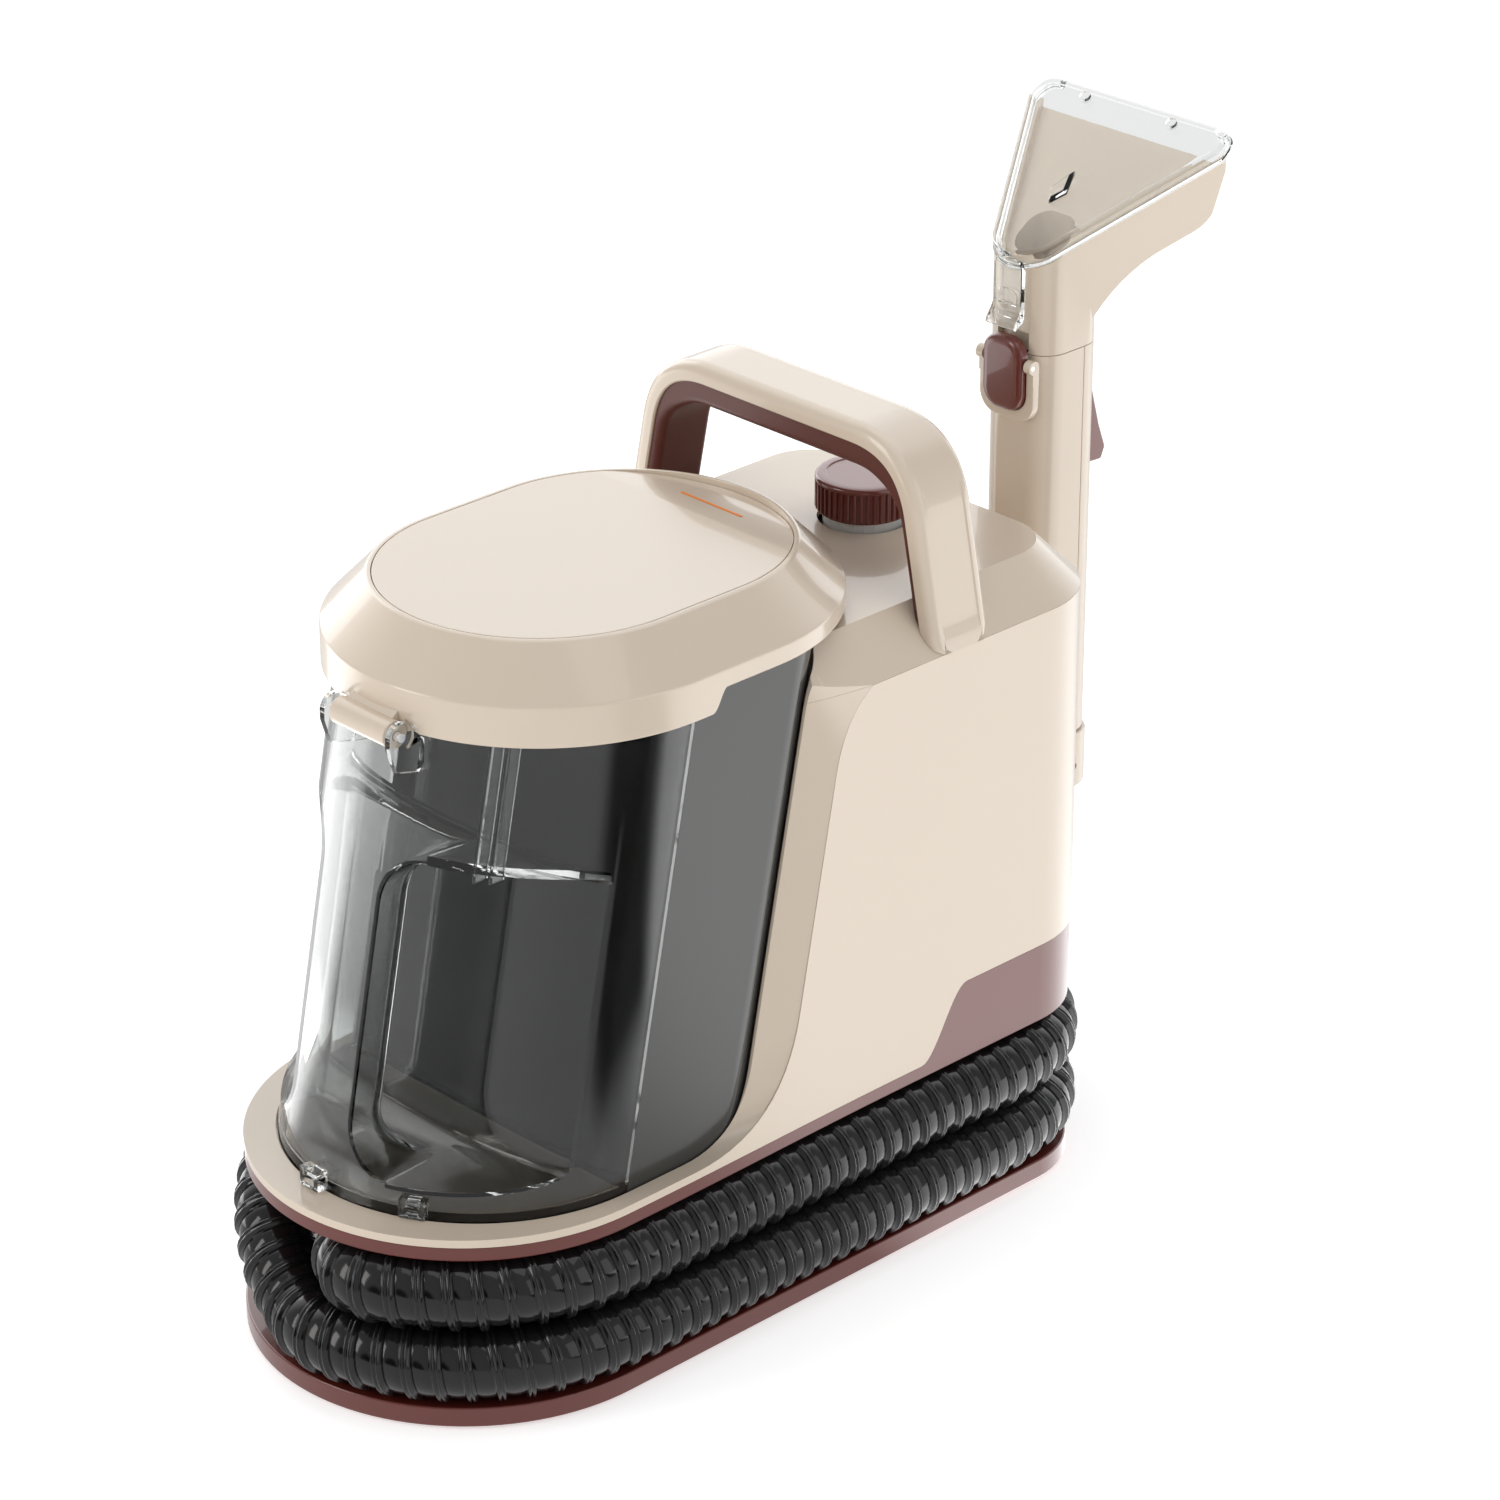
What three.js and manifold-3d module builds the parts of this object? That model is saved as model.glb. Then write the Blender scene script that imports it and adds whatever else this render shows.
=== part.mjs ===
// Portable carpet cleaner: a raked dirty water tank on a low deck, a tall body with the clean tank
// and the motor, a wand docked on the back, and a corrugated hose wound round the waist.
// Millimetres, +Z up. The tank end faces -Y and the wand stands at +Y.
import * as THREE from 'three';
import { mergeVertices } from 'three/addons/utils/BufferGeometryUtils.js';
import Module from 'manifold-3d';

const wasm = await Module();
wasm.setup();

// Driving dimensions
const GAP = 0.3;
const WALL = 3;
const BASE = { half: 100, front: -200, rear: 199, corner: 44, bottom: 1.5, top: 11 };
const FOOT = { radius: 10, height: 3.3, x: 62, front: -122, rear: 150, pocket: 2.1 };
const HOSE = {
  radius: 17, half: 90, front: -190, rear: 200, corner: 60, low: 28.3, high: 62.7,
};
const CORE = { half: 71, front: -150, rear: 181, corner: 42, top: 81 };
const PORT = { x: 6, front: -160, rear: -118, outer: 17, inner: 13.5 };
const SKIRT = { half: 98, front: -197, rear: 201, corner: 48, bottom: 81.3, top: 88.2, tall: 120.7 };
const BODY = { half: 97, rear: 202, corner: 45, seam: 285, top: 305, chamfer: 20 };
const DECK = { half: 98.8, front: -197.6, top: 92, floor: 89.7 };
const RAKE = 0.2;
const RAKE_ZERO = 300;
const TANK = { half: 89.6, centre: -50, rear: 28, corner: 22, bottom: 90, rim: 299.4, rearRim: 309.4 };
const BAY = { half: 90.3, wall: 30, lip: 16, panel: 34 };
const GRIP = { half: 18, depth: 22, low: 116, high: 240, wall: 45, side: 79 };
const LID = {
  half: 94, front: -146, rear: 87.5, rim: 300, rearRim: 310, crease: 318, top: 339, inset: 20, step: -40,
};
const HINGE = { y: -150, z: 300, barrel: 6, barrelHalf: 17, pin: 2, ear: 19, earThick: 3 };
const CAP = { y: 138, radius: 22, bottom: 309, top: 326, neck: 18.4 };
const HANDLE = {
  footX: 98, footZ: 287, lean: 0.204, top: 378, bend: 42, front: 83, rear: 117, skin: 9, leg: 14, bar: 20,
};
const MOTOR = { y: 110, radius: 40, bottom: 112, top: 170, shaft: 3, fan: 44 };
const WAND = { y: 252, half: 20, corner: 13, cap: 137, capTop: 165, seam: 258, top: 358 };
const HEAD = { apexY: 232, apexZ: 398, tilt: 31.3, length: 99, half: 57, apexRadius: 20 };
const TRIGGER = { y: 266, z: 334, half: 7.5 };
const BUTTON = { z: 348.5, half: 12, height: 17.5, pinZ: 354, pinY: 230 };

// Materials
function plastic(color, roughness = 0.35, extra = {}) {
  return new THREE.MeshStandardMaterial({ color, roughness, metalness: 0, ...extra });
}
const cream = plastic(0xded6cb);
const maroon = plastic(0x64281f);
const maroonGrip = plastic(0x5a221b, 0.5);
const black = plastic(0x141414, 0.25);
const rubber = plastic(0x232323, 0.8);
const smoke = plastic(0x5a5a58, 0.3);
const clear = plastic(0xe8ecec, 0.05, { transparent: true, opacity: 0.35 });
const orange = plastic(0xd98a3a, 0.4);
const grey = plastic(0x77787a, 0.6);
const white = plastic(0xe9e9e6, 0.5);
const green = plastic(0x2f6b45, 0.6);
const steel = new THREE.MeshStandardMaterial({ color: 0xb4b6b8, roughness: 0.3, metalness: 1 });

// Solids: a closed geometry becomes a manifold solid, and a solid becomes a geometry again
function solid(geometry) {
  const bare = new THREE.BufferGeometry();
  const loose = geometry.index ? geometry.toNonIndexed() : geometry;
  bare.setAttribute('position', loose.getAttribute('position').clone());
  const merged = mergeVertices(bare, 1e-4);
  const index = merged.index.array;
  const kept = [];
  for (let i = 0; i < index.length; i += 3) {
    const [a, b, c] = [index[i], index[i + 1], index[i + 2]];
    if (a !== b && b !== c && a !== c) kept.push(a, b, c);
  }
  return new wasm.Manifold(new wasm.Mesh({
    numProp: 3,
    vertProperties: new Float32Array(merged.attributes.position.array),
    triVerts: new Uint32Array(kept),
  }));
}

function geometryOf(body) {
  const mesh = body.getMesh();
  const geometry = new THREE.BufferGeometry();
  geometry.setAttribute('position', new THREE.BufferAttribute(new Float32Array(mesh.vertProperties), 3));
  geometry.setIndex(new THREE.BufferAttribute(new Uint32Array(mesh.triVerts), 1));
  geometry.computeVertexNormals();
  return geometry;
}

const join = (...bodies) => bodies.reduce((a, b) => a.add(b));
const cut = (first, ...rest) => rest.reduce((a, b) => a.subtract(b), first);
const common = (a, b) => a.intersect(b);

function extrude(shape, depth, bevel, segments) {
  const bevelled = bevel ? { bevelEnabled: true, bevelThickness: bevel, bevelSize: bevel,
    bevelOffset: -bevel, bevelSegments: 1 } : { bevelEnabled: false };
  const length = bevel ? depth - 2 * bevel : depth;
  const geometry = new THREE.ExtrudeGeometry(shape, { depth: length, curveSegments: segments, ...bevelled });
  return bevel ? geometry.translate(0, 0, bevel) : geometry;
}

// Prisms of a closed outline along Z, along X (outline in Y, Z) and along Y (outline in X, Z)
const prismZ = (shape, z0, z1, bevel = 0, segments = 4) =>
  extrude(shape, z1 - z0, bevel, segments).translate(0, 0, z0);

function prismX(shape, x0, x1, bevel = 0, segments = 6) {
  const turn = new THREE.Matrix4().set(0, 0, 1, x0, 1, 0, 0, 0, 0, 1, 0, 0, 0, 0, 0, 1);
  return extrude(shape, x1 - x0, bevel, segments).applyMatrix4(turn);
}

const prismY = (shape, y0, y1, bevel = 0, segments = 6) =>
  extrude(shape, y1 - y0, bevel, segments).rotateX(Math.PI / 2).translate(0, y1, 0);

// The tank and its bay lean back going up: each level moves along Y in proportion to its height
function rake(geometry) {
  const position = geometry.getAttribute('position');
  for (let i = 0; i < position.count; i += 1) {
    position.setY(i, position.getY(i) + RAKE * (position.getZ(i) - RAKE_ZERO));
  }
  return geometry;
}

// Outlines
function stadium(half, front, rear, corner) {
  const shape = new THREE.Shape();
  const centre = front + half;
  shape.moveTo(half, centre);
  shape.lineTo(half, rear - corner);
  shape.absarc(half - corner, rear - corner, corner, 0, Math.PI / 2);
  shape.lineTo(corner - half, rear);
  shape.absarc(corner - half, rear - corner, corner, Math.PI / 2, Math.PI);
  shape.lineTo(-half, centre);
  shape.absarc(0, centre, half, Math.PI, 1.5 * Math.PI);
  shape.absarc(0, centre, half, 1.5 * Math.PI, 2 * Math.PI);
  return shape;
}

function roundRect(halfX, halfY, corner, x = 0, y = 0) {
  const shape = new THREE.Shape();
  shape.absarc(x + halfX - corner, y + halfY - corner, corner, 0, Math.PI / 2);
  shape.absarc(x - halfX + corner, y + halfY - corner, corner, Math.PI / 2, Math.PI);
  shape.absarc(x - halfX + corner, y - halfY + corner, corner, Math.PI, 1.5 * Math.PI);
  shape.absarc(x + halfX - corner, y - halfY + corner, corner, 1.5 * Math.PI, 2 * Math.PI);
  shape.closePath();
  return shape;
}

function polygon(points) {
  return new THREE.Shape(points.map(([x, y]) => new THREE.Vector2(x, y)));
}

const box = (x0, x1, y0, y1, z0, z1) =>
  solid(new THREE.BoxGeometry(x1 - x0, y1 - y0, z1 - z0)
    .translate((x0 + x1) / 2, (y0 + y1) / 2, (z0 + z1) / 2));

const rodZ = (radius, z0, z1, x = 0, y = 0, sides = 24) =>
  solid(new THREE.CylinderGeometry(radius, radius, z1 - z0, sides)
    .rotateX(Math.PI / 2).translate(x, y, (z0 + z1) / 2));

const rodX = (radius, x0, x1, y, z, sides = 20) =>
  solid(new THREE.CylinderGeometry(radius, radius, x1 - x0, sides)
    .rotateZ(Math.PI / 2).translate((x0 + x1) / 2, y, z));

const rodY = (radius, y0, y1, x, z, sides = 24) =>
  solid(new THREE.CylinderGeometry(radius, radius, y1 - y0, sides).translate(x, (y0 + y1) / 2, z));

const tubeZ = (outer, inner, z0, z1, x = 0, y = 0, sides = 24) =>
  cut(rodZ(outer, z0, z1, x, y, sides), rodZ(inner, z0 - 1, z1 + 1, x, y, sides));

// A round cord or pipe along a curve
function tubeAlong(curve, radius, steps, sides) {
  const section = new THREE.Shape();
  section.absarc(0, 0, radius, 0, 2 * Math.PI);
  return new THREE.ExtrudeGeometry(section, {
    steps, curveSegments: sides / 2, bevelEnabled: false, extrudePath: curve,
  });
}

// The scene graph: each group stands at its own origin, and its pieces are placed from there
const cleaner = new THREE.Group();
const origins = new Map([[cleaner, new THREE.Vector3()]]);

function subGroup(parent, x, y, z) {
  const group = new THREE.Group();
  const origin = new THREE.Vector3(x, y, z);
  group.position.copy(origin).sub(origins.get(parent));
  origins.set(group, origin);
  parent.add(group);
  return group;
}

function put(group, name, body, material) {
  const geometry = body instanceof THREE.BufferGeometry ? body : geometryOf(body);
  const origin = origins.get(group);
  const mesh = new THREE.Mesh(geometry.translate(-origin.x, -origin.y, -origin.z), material);
  mesh.name = name;
  group.add(mesh);
}

// Base plate on four rubber feet
function makeBase() {
  const spots = [
    ['foot_front_left', -FOOT.x, FOOT.front], ['foot_front_right', FOOT.x, FOOT.front],
    ['foot_rear_left', -FOOT.x, FOOT.rear], ['foot_rear_right', FOOT.x, FOOT.rear],
  ];
  const pockets = spots.map(([, x, y]) =>
    rodZ(FOOT.radius + GAP, 0, BASE.bottom + FOOT.pocket, x, y, 24));
  const outline = stadium(BASE.half, BASE.front, BASE.rear, BASE.corner);
  const plate = cut(solid(prismZ(outline, BASE.bottom, BASE.top)), ...pockets);
  put(cleaner, 'base_plate', plate, maroon);
  spots.forEach(([name, x, y]) => put(cleaner, name, rodZ(FOOT.radius, 0, FOOT.height, x, y, 24), rubber));
}

// Waist: the hollow core that the hose is wound round, and the port where the hose leaves it
function makeWaist() {
  const outer = prismZ(stadium(CORE.half, CORE.front, CORE.rear, CORE.corner), BASE.top + GAP, CORE.top);
  const inner = stadium(CORE.half - WALL, CORE.front + WALL, CORE.rear - WALL, CORE.corner - WALL);
  const bore = rodY(PORT.outer + GAP, PORT.front, PORT.rear, PORT.x, HOSE.high);
  const core = cut(solid(outer), solid(prismZ(inner, 0, 100)), bore);
  put(cleaner, 'waist_core', core, black);
  const port = join(
    rodY(PORT.outer, PORT.front, PORT.rear, PORT.x, HOSE.high),
    rodY(PORT.outer + 1.2, CORE.front + 10, PORT.rear, PORT.x, HOSE.high),
  );
  const hollow = rodY(PORT.inner, PORT.front - 1, PORT.rear + 1, PORT.x, HOSE.high);
  put(cleaner, 'hose_port', cut(port, hollow), black);
}

// Skirt: a low band under the deck that rises in an S-shaped step to a tall band at the back
function stepOutline(low, high, shift, up) {
  const shape = new THREE.Shape();
  const end = up ? 400 : -50;
  shape.moveTo(-260, low);
  shape.lineTo(79 + shift, low);
  shape.bezierCurveTo(91 + shift, low, 91 + shift, high, 107 + shift, high);
  shape.lineTo(260, high);
  shape.lineTo(260, end);
  shape.lineTo(-260, end);
  return shape;
}

function makeSkirt() {
  const outer = solid(prismZ(stadium(SKIRT.half, SKIRT.front, SKIRT.rear, SKIRT.corner),
    SKIRT.bottom, SKIRT.tall));
  const inner = stadium(SKIRT.half - 4, SKIRT.front + 4, SKIRT.rear - 4, SKIRT.corner - 4);
  const floorHole = stadium(60, -120, 160, 30);
  const above = solid(prismX(stepOutline(SKIRT.top, SKIRT.tall, 0, true), -120, 120));
  const skirt = cut(outer, solid(prismZ(inner, SKIRT.bottom + WALL, 130)),
    solid(prismZ(floorHole, 70, 130)), above);
  put(cleaner, 'lower_skirt', skirt, maroon);
}

// Main housing: deck ring, tank bay with slanted cheeks, and the walls of the tall body
function housingProfile(line) {
  const foot = line + RAKE * (DECK.top - RAKE_ZERO);
  const head = line + RAKE * (BODY.top - RAKE_ZERO);
  const shape = new THREE.Shape();
  shape.moveTo(-260, 60);
  shape.lineTo(-260, DECK.top);
  shape.lineTo(foot - 34, DECK.top);
  shape.quadraticCurveTo(foot, DECK.top, foot + 34 * RAKE, DECK.top + 34);
  shape.lineTo(head - 24 * RAKE, BODY.top - 24);
  shape.quadraticCurveTo(head, BODY.top, head + 24, BODY.top);
  shape.lineTo(260, BODY.top);
  shape.lineTo(260, 60);
  return shape;
}

function cheekWedge(side) {
  const [inside, outside, front] = [BAY.half - 1, BODY.half + 3, BAY.lip - 60];
  const points = [[inside, BAY.lip - 2.5], [outside, BAY.panel + 8], [outside, front], [inside, front]]
    .map(([x, y]) => [side * x, y]);
  const shape = polygon(side > 0 ? points : points.reverse());
  return solid(rake(prismZ(shape, DECK.top + 8, 340)));
}

function tankBay() {
  const outline = stadium(BAY.half, TANK.centre - BAY.half, BAY.wall, TANK.corner);
  return solid(rake(prismZ(outline, DECK.floor, 340)));
}

function bodyBlock() {
  const outline = roundRect(BODY.half, 131, BODY.corner, 0, BODY.rear - 131);
  return solid(prismZ(outline, -40, BODY.top, BODY.chamfer));
}

function makeHousing() {
  const plan = solid(prismZ(stadium(DECK.half, DECK.front, BODY.rear, BODY.corner), SKIRT.bottom, DECK.top));
  const outline = common(join(bodyBlock(), plan), solid(prismX(housingProfile(BAY.lip), -130, 130)));
  const shell = cut(outline, tankBay(), cheekWedge(1), cheekWedge(-1));
  const below = solid(prismX(stepOutline(SKIRT.top + GAP, SKIRT.tall + GAP, -GAP, false), -130, 130));
  const wallLine = BAY.wall + WALL;
  const roomOutline = roundRect(BODY.half - WALL, 95, BODY.corner - WALL, 0, BODY.rear - WALL - 95);
  const room = common(
    solid(prismZ(roomOutline, 60, BODY.top - WALL, BODY.chamfer)),
    solid(rake(prismZ(polygon([[-120, wallLine], [120, wallLine], [120, 300], [-120, 300]]), 60, 330))),
  );
  const lowRoom = solid(prismZ(roomOutline, 60, 200));
  const roomLow = common(lowRoom,
    solid(rake(prismZ(polygon([[-120, wallLine], [120, wallLine], [120, 300], [-120, 300]]), 60, 330))));
  const neckHole = rodZ(CAP.neck + 2.6, 290, 320, 0, CAP.y);
  const underDeck = solid(prismZ(stadium(DECK.half - 6, DECK.front + 6, 60, 20), 60, DECK.floor - WALL));
  const hollow = cut(shell, room, roomLow, below, underDeck);
  const lowerHalf = box(-130, 130, -260, 260, 0, BODY.seam);
  const upperHalf = box(-130, 130, -260, 260, BODY.seam + GAP, 400);
  const dockHoles = [186, 222].map((z) => rodY(2.4, 190, 210, 0, z, 16));
  const buttonHole = rodY(12.4, 190, 210, -38, 250, 24);
  const inletHole = box(-52, -24, 190, 210, 138, 160);
  const grilleHole = box(27.7, 50.3, 190, 210, 139.7, 220.3);
  put(cleaner, 'main_housing',
    cut(common(hollow, lowerHalf), ...dockHoles, buttonHole, inletHole, grilleHole), cream);
  put(cleaner, 'top_cover', cut(common(hollow, upperHalf), neckHole), cream);
}

// Clean water tank in the top of the body, its filler neck, the ribbed cap and the cap's seal
function makeCleanTank() {
  const outer = solid(prismZ(roundRect(86, 73, 34, 0, 118), 204, 284));
  const inner = solid(prismZ(roundRect(83.5, 70.5, 32, 0, 118), 206.5, 281.5));
  const neck = rodZ(CAP.neck, 283, CAP.top - 4, 0, CAP.y);
  const bore = rodZ(CAP.neck - 2.6, 270, CAP.top, 0, CAP.y);
  put(cleaner, 'clean_tank', cut(join(outer, neck), inner, bore), white);
  const cap = subGroup(cleaner, 0, CAP.y, CAP.bottom);
  const shell = cut(rodZ(CAP.radius, CAP.bottom, CAP.top, 0, CAP.y, 48),
    rodZ(CAP.neck + 0.6, CAP.bottom - 1, CAP.top - WALL, 0, CAP.y));
  put(cap, 'filler_cap', shell, maroon);
  const sealZ = CAP.top - WALL - GAP;
  put(cap, 'cap_seal', tubeZ(CAP.neck - 2.9, CAP.neck - 6, sealZ - 4, sealZ, 0, CAP.y), rubber);
}

// Carry handle: a cream channel over a maroon grip, its legs standing on the chamfers of the body
function archOutline(inward, sideInward) {
  const top = HANDLE.top - inward;
  const legX = (z) => HANDLE.footX - sideInward * 1.02 - HANDLE.lean * (z - HANDLE.footZ);
  const foot = HANDLE.footZ - 8;
  const bend = Math.max(HANDLE.bend - inward, 12);
  const leg = new THREE.Vector2(HANDLE.lean, -1).normalize();
  const along = bend * 0.82;
  const corner = new THREE.Vector2(legX(top), top);
  const down = corner.clone().addScaledVector(leg, along);
  const points = [[legX(foot), foot], [down.x, down.y], [corner.x, corner.y], [corner.x - along, top]];
  return points;
}

function archBand(outerIn, outerSide, innerIn, innerSide) {
  const outer = archOutline(outerIn, outerSide);
  const inner = archOutline(innerIn, innerSide);
  const shape = new THREE.Shape();
  shape.moveTo(...outer[0]);
  shape.lineTo(...outer[1]);
  shape.quadraticCurveTo(...outer[2], ...outer[3]);
  shape.lineTo(-outer[3][0], outer[3][1]);
  shape.quadraticCurveTo(-outer[2][0], outer[2][1], -outer[1][0], outer[1][1]);
  shape.lineTo(-outer[0][0], outer[0][1]);
  shape.lineTo(-inner[0][0], inner[0][1]);
  shape.lineTo(-inner[1][0], inner[1][1]);
  shape.quadraticCurveTo(-inner[2][0], inner[2][1], -inner[3][0], inner[3][1]);
  shape.lineTo(...inner[3]);
  shape.quadraticCurveTo(...inner[2], ...inner[1]);
  shape.lineTo(...inner[0]);
  return shape;
}

function makeHandle() {
  const clearance = solid(prismZ(roundRect(BODY.half + GAP, 131, BODY.corner, 0, BODY.rear - 131),
    -40, BODY.top + GAP, BODY.chamfer));
  const below = box(-130, 130, 0, 200, 200, HANDLE.footZ);
  const skin = solid(prismY(archBand(0, 0, HANDLE.skin, HANDLE.skin), HANDLE.front, HANDLE.rear, 4));
  put(cleaner, 'handle_shell', cut(skin, clearance, below), cream);
  const grip = solid(prismY(archBand(HANDLE.skin + GAP, HANDLE.skin + GAP, HANDLE.bar, HANDLE.leg),
    HANDLE.front + 1.5, HANDLE.rear - 1.5, 0));
  put(cleaner, 'handle_grip', cut(grip, clearance, below), maroonGrip);
}

// Suction motor with its shaft, bearings, fan and fan cup, on a mounting ring
function makeMotor() {
  const { y, radius, bottom, top, shaft } = MOTOR;
  const can = cut(rodZ(radius, bottom, top, 0, y), rodZ(9.3, bottom - 1, bottom + 6, 0, y, 24),
    rodZ(9.3, top - 6, top + 1, 0, y, 24), rodZ(shaft + 1, bottom - 1, top + 1, 0, y, 24));
  put(cleaner, 'suction_motor', can, grey);
  put(cleaner, 'motor_bearing_lower', tubeZ(9, shaft + GAP, bottom, bottom + 5.7, 0, y, 24), steel);
  put(cleaner, 'motor_bearing_upper', tubeZ(9, shaft + GAP, top - 5.7, top, 0, y, 24), steel);
  const legs = [45, 135, 225, 315].map((degrees) => {
    const angle = (degrees * Math.PI) / 180;
    const [legX, legY] = [52 * Math.cos(angle), y + 52 * Math.sin(angle)];
    return rodZ(6, SKIRT.bottom + WALL + GAP, bottom - 3, legX, legY, 16);
  });
  const ring = tubeZ(58, radius - 12, bottom - 6, bottom - GAP, 0, y);
  put(cleaner, 'motor_mount', join(ring, ...legs), black);
  const cup = cut(rodZ(54, top + 2, top + 30, 0, y), rodZ(51, top - 1, top + 27, 0, y),
    rodZ(20, top, top + 40, 0, y));
  const foot = cut(rodZ(54, top + 2, top + 4, 0, y), rodZ(46, top, top + 6, 0, y));
  put(cleaner, 'fan_housing', join(cup, foot), black);
  const rotor = subGroup(cleaner, 0, y, top);
  put(rotor, 'motor_shaft', rodZ(shaft, bottom - 4, top + 20, 0, y, 20), steel);
  const blades = [0, 1, 2, 3, 4, 5, 6].map((i) => solid(new THREE.BoxGeometry(30, 1.6, 12)
    .translate(27, 0, 0).rotateZ((i * 2 * Math.PI) / 7).translate(0, y, top + 14)));
  const hub = cut(join(rodZ(14, top + 6, top + 20, 0, y, 24), rodZ(MOTOR.fan, top + 6, top + 8.4, 0, y),
    ...blades), rodZ(shaft + GAP, top, top + 30, 0, y, 20));
  put(rotor, 'motor_fan', hub, steel);
}

// Water pump in the waist, its pipes, and the control board
function makePump() {
  const pump = join(box(8, 52, 0, 70, BASE.top + GAP, 40), rodY(13, -24, 2, 30, 27, 24));
  put(cleaner, 'water_pump', pump, black);
  const feed = new THREE.LineCurve3(new THREE.Vector3(44, 60, 40 + GAP), new THREE.Vector3(44, 60, 203.6));
  put(cleaner, 'feed_pipe', solid(tubeAlong(feed, 4, 1, 12)), white);
  const line = new THREE.CatmullRomCurve3([[30, -24.4, 27], [30, -50, 27], [22, -80, 40], [8, -100, 58],
    [PORT.x, -117.4, HOSE.high]].map((p) => new THREE.Vector3(...p)));
  put(cleaner, 'pressure_pipe', solid(tubeAlong(line, 3.5, 12, 10)), white);
  put(cleaner, 'control_board', box(-80, -78.4, 130, 180, 125, 195), green);
}

// Back of the body: power button, cable inlet, exhaust grille and the dock rail for the wand
function makeBack() {
  const back = BODY.rear;
  const button = subGroup(cleaner, -38, back, 250);
  put(button, 'power_button', join(rodY(12, back - 6, back + 3, -38, 250, 24),
    rodY(4, back - 8, back - 5, -38, 250, 16)), maroon);
  const inlet = cut(join(box(-51.7, -24.3, back - 12, back, 138.3, 159.7),
    box(-54, -22, back + GAP, back + 2.5, 136, 162), box(-50, -26, back - 1, back + 1, 140, 158)),
  rodY(5, back - 10, back + 5, -38, 149, 20));
  put(cleaner, 'power_inlet', inlet, black);
  const slots = [0, 1, 2, 3, 4, 5, 6].map((i) => box(30, 48, back - 5, back + 5, 146 + 10 * i, 151 + 10 * i));
  const plug = box(28, 50, back - 3, back + 0.5, 140, 220);
  const flange = box(26, 52, back + GAP, back + 2, 138, 222);
  put(cleaner, 'exhaust_grille', cut(join(plug, flange), ...slots), black);
  const block = join(box(-14, 14, back + GAP, 229, 178, 236), box(-5, 5, 228, 234.6, 186, 225),
    box(-9, 9, 234.2, 236.8, 186, 225));
  const bores = [186, 222].map((z) => rodY(2.4, back, back + 12, 0, z, 16));
  put(cleaner, 'wand_dock', cut(block, ...bores), cream);
  [186, 222].forEach((z, i) => put(cleaner, `dock_screw_${i ? 'upper' : 'lower'}`,
    join(rodY(2, back - 6, back + 10, 0, z, 16), rodY(4, back - 6, back - WALL - GAP, 0, z, 16)), steel));
}

// Dirty water tank: a clear raked shell with a moulded grip in front and a smoked separator behind
function fingerCutter(grow, keepGrip) {
  const wall = GRIP.wall - grow;
  const side = GRIP.side + grow;
  const shape = new THREE.Shape();
  const y = (v) => TANK.centre + v;
  shape.moveTo(side, y(-41 + grow));
  shape.quadraticCurveTo(side * 0.6, y(-wall), 0, y(-wall));
  shape.quadraticCurveTo(-side * 0.6, y(-wall), -side, y(-41 + grow));
  shape.lineTo(-105, y(-60));
  shape.lineTo(-105, y(-110));
  shape.lineTo(105, y(-110));
  shape.lineTo(105, y(-60));
  const cutter = solid(rake(prismZ(shape, GRIP.low - grow, GRIP.high + grow)));
  if (!keepGrip) return cutter;
  const inner = y(-TANK.half + GRIP.depth);
  const column = roundRect(GRIP.half, GRIP.depth / 2 + 6, 8, 0, inner - GRIP.depth / 2 - 6);
  return cut(cutter, solid(rake(prismZ(column, GRIP.low - 5, GRIP.high + 5))));
}

function tankWall(inset, z0, z1) {
  const outline = stadium(TANK.half - inset, TANK.centre - TANK.half + inset, TANK.rear - inset,
    TANK.corner - inset);
  return solid(rake(prismZ(outline, z0, z1)));
}

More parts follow.
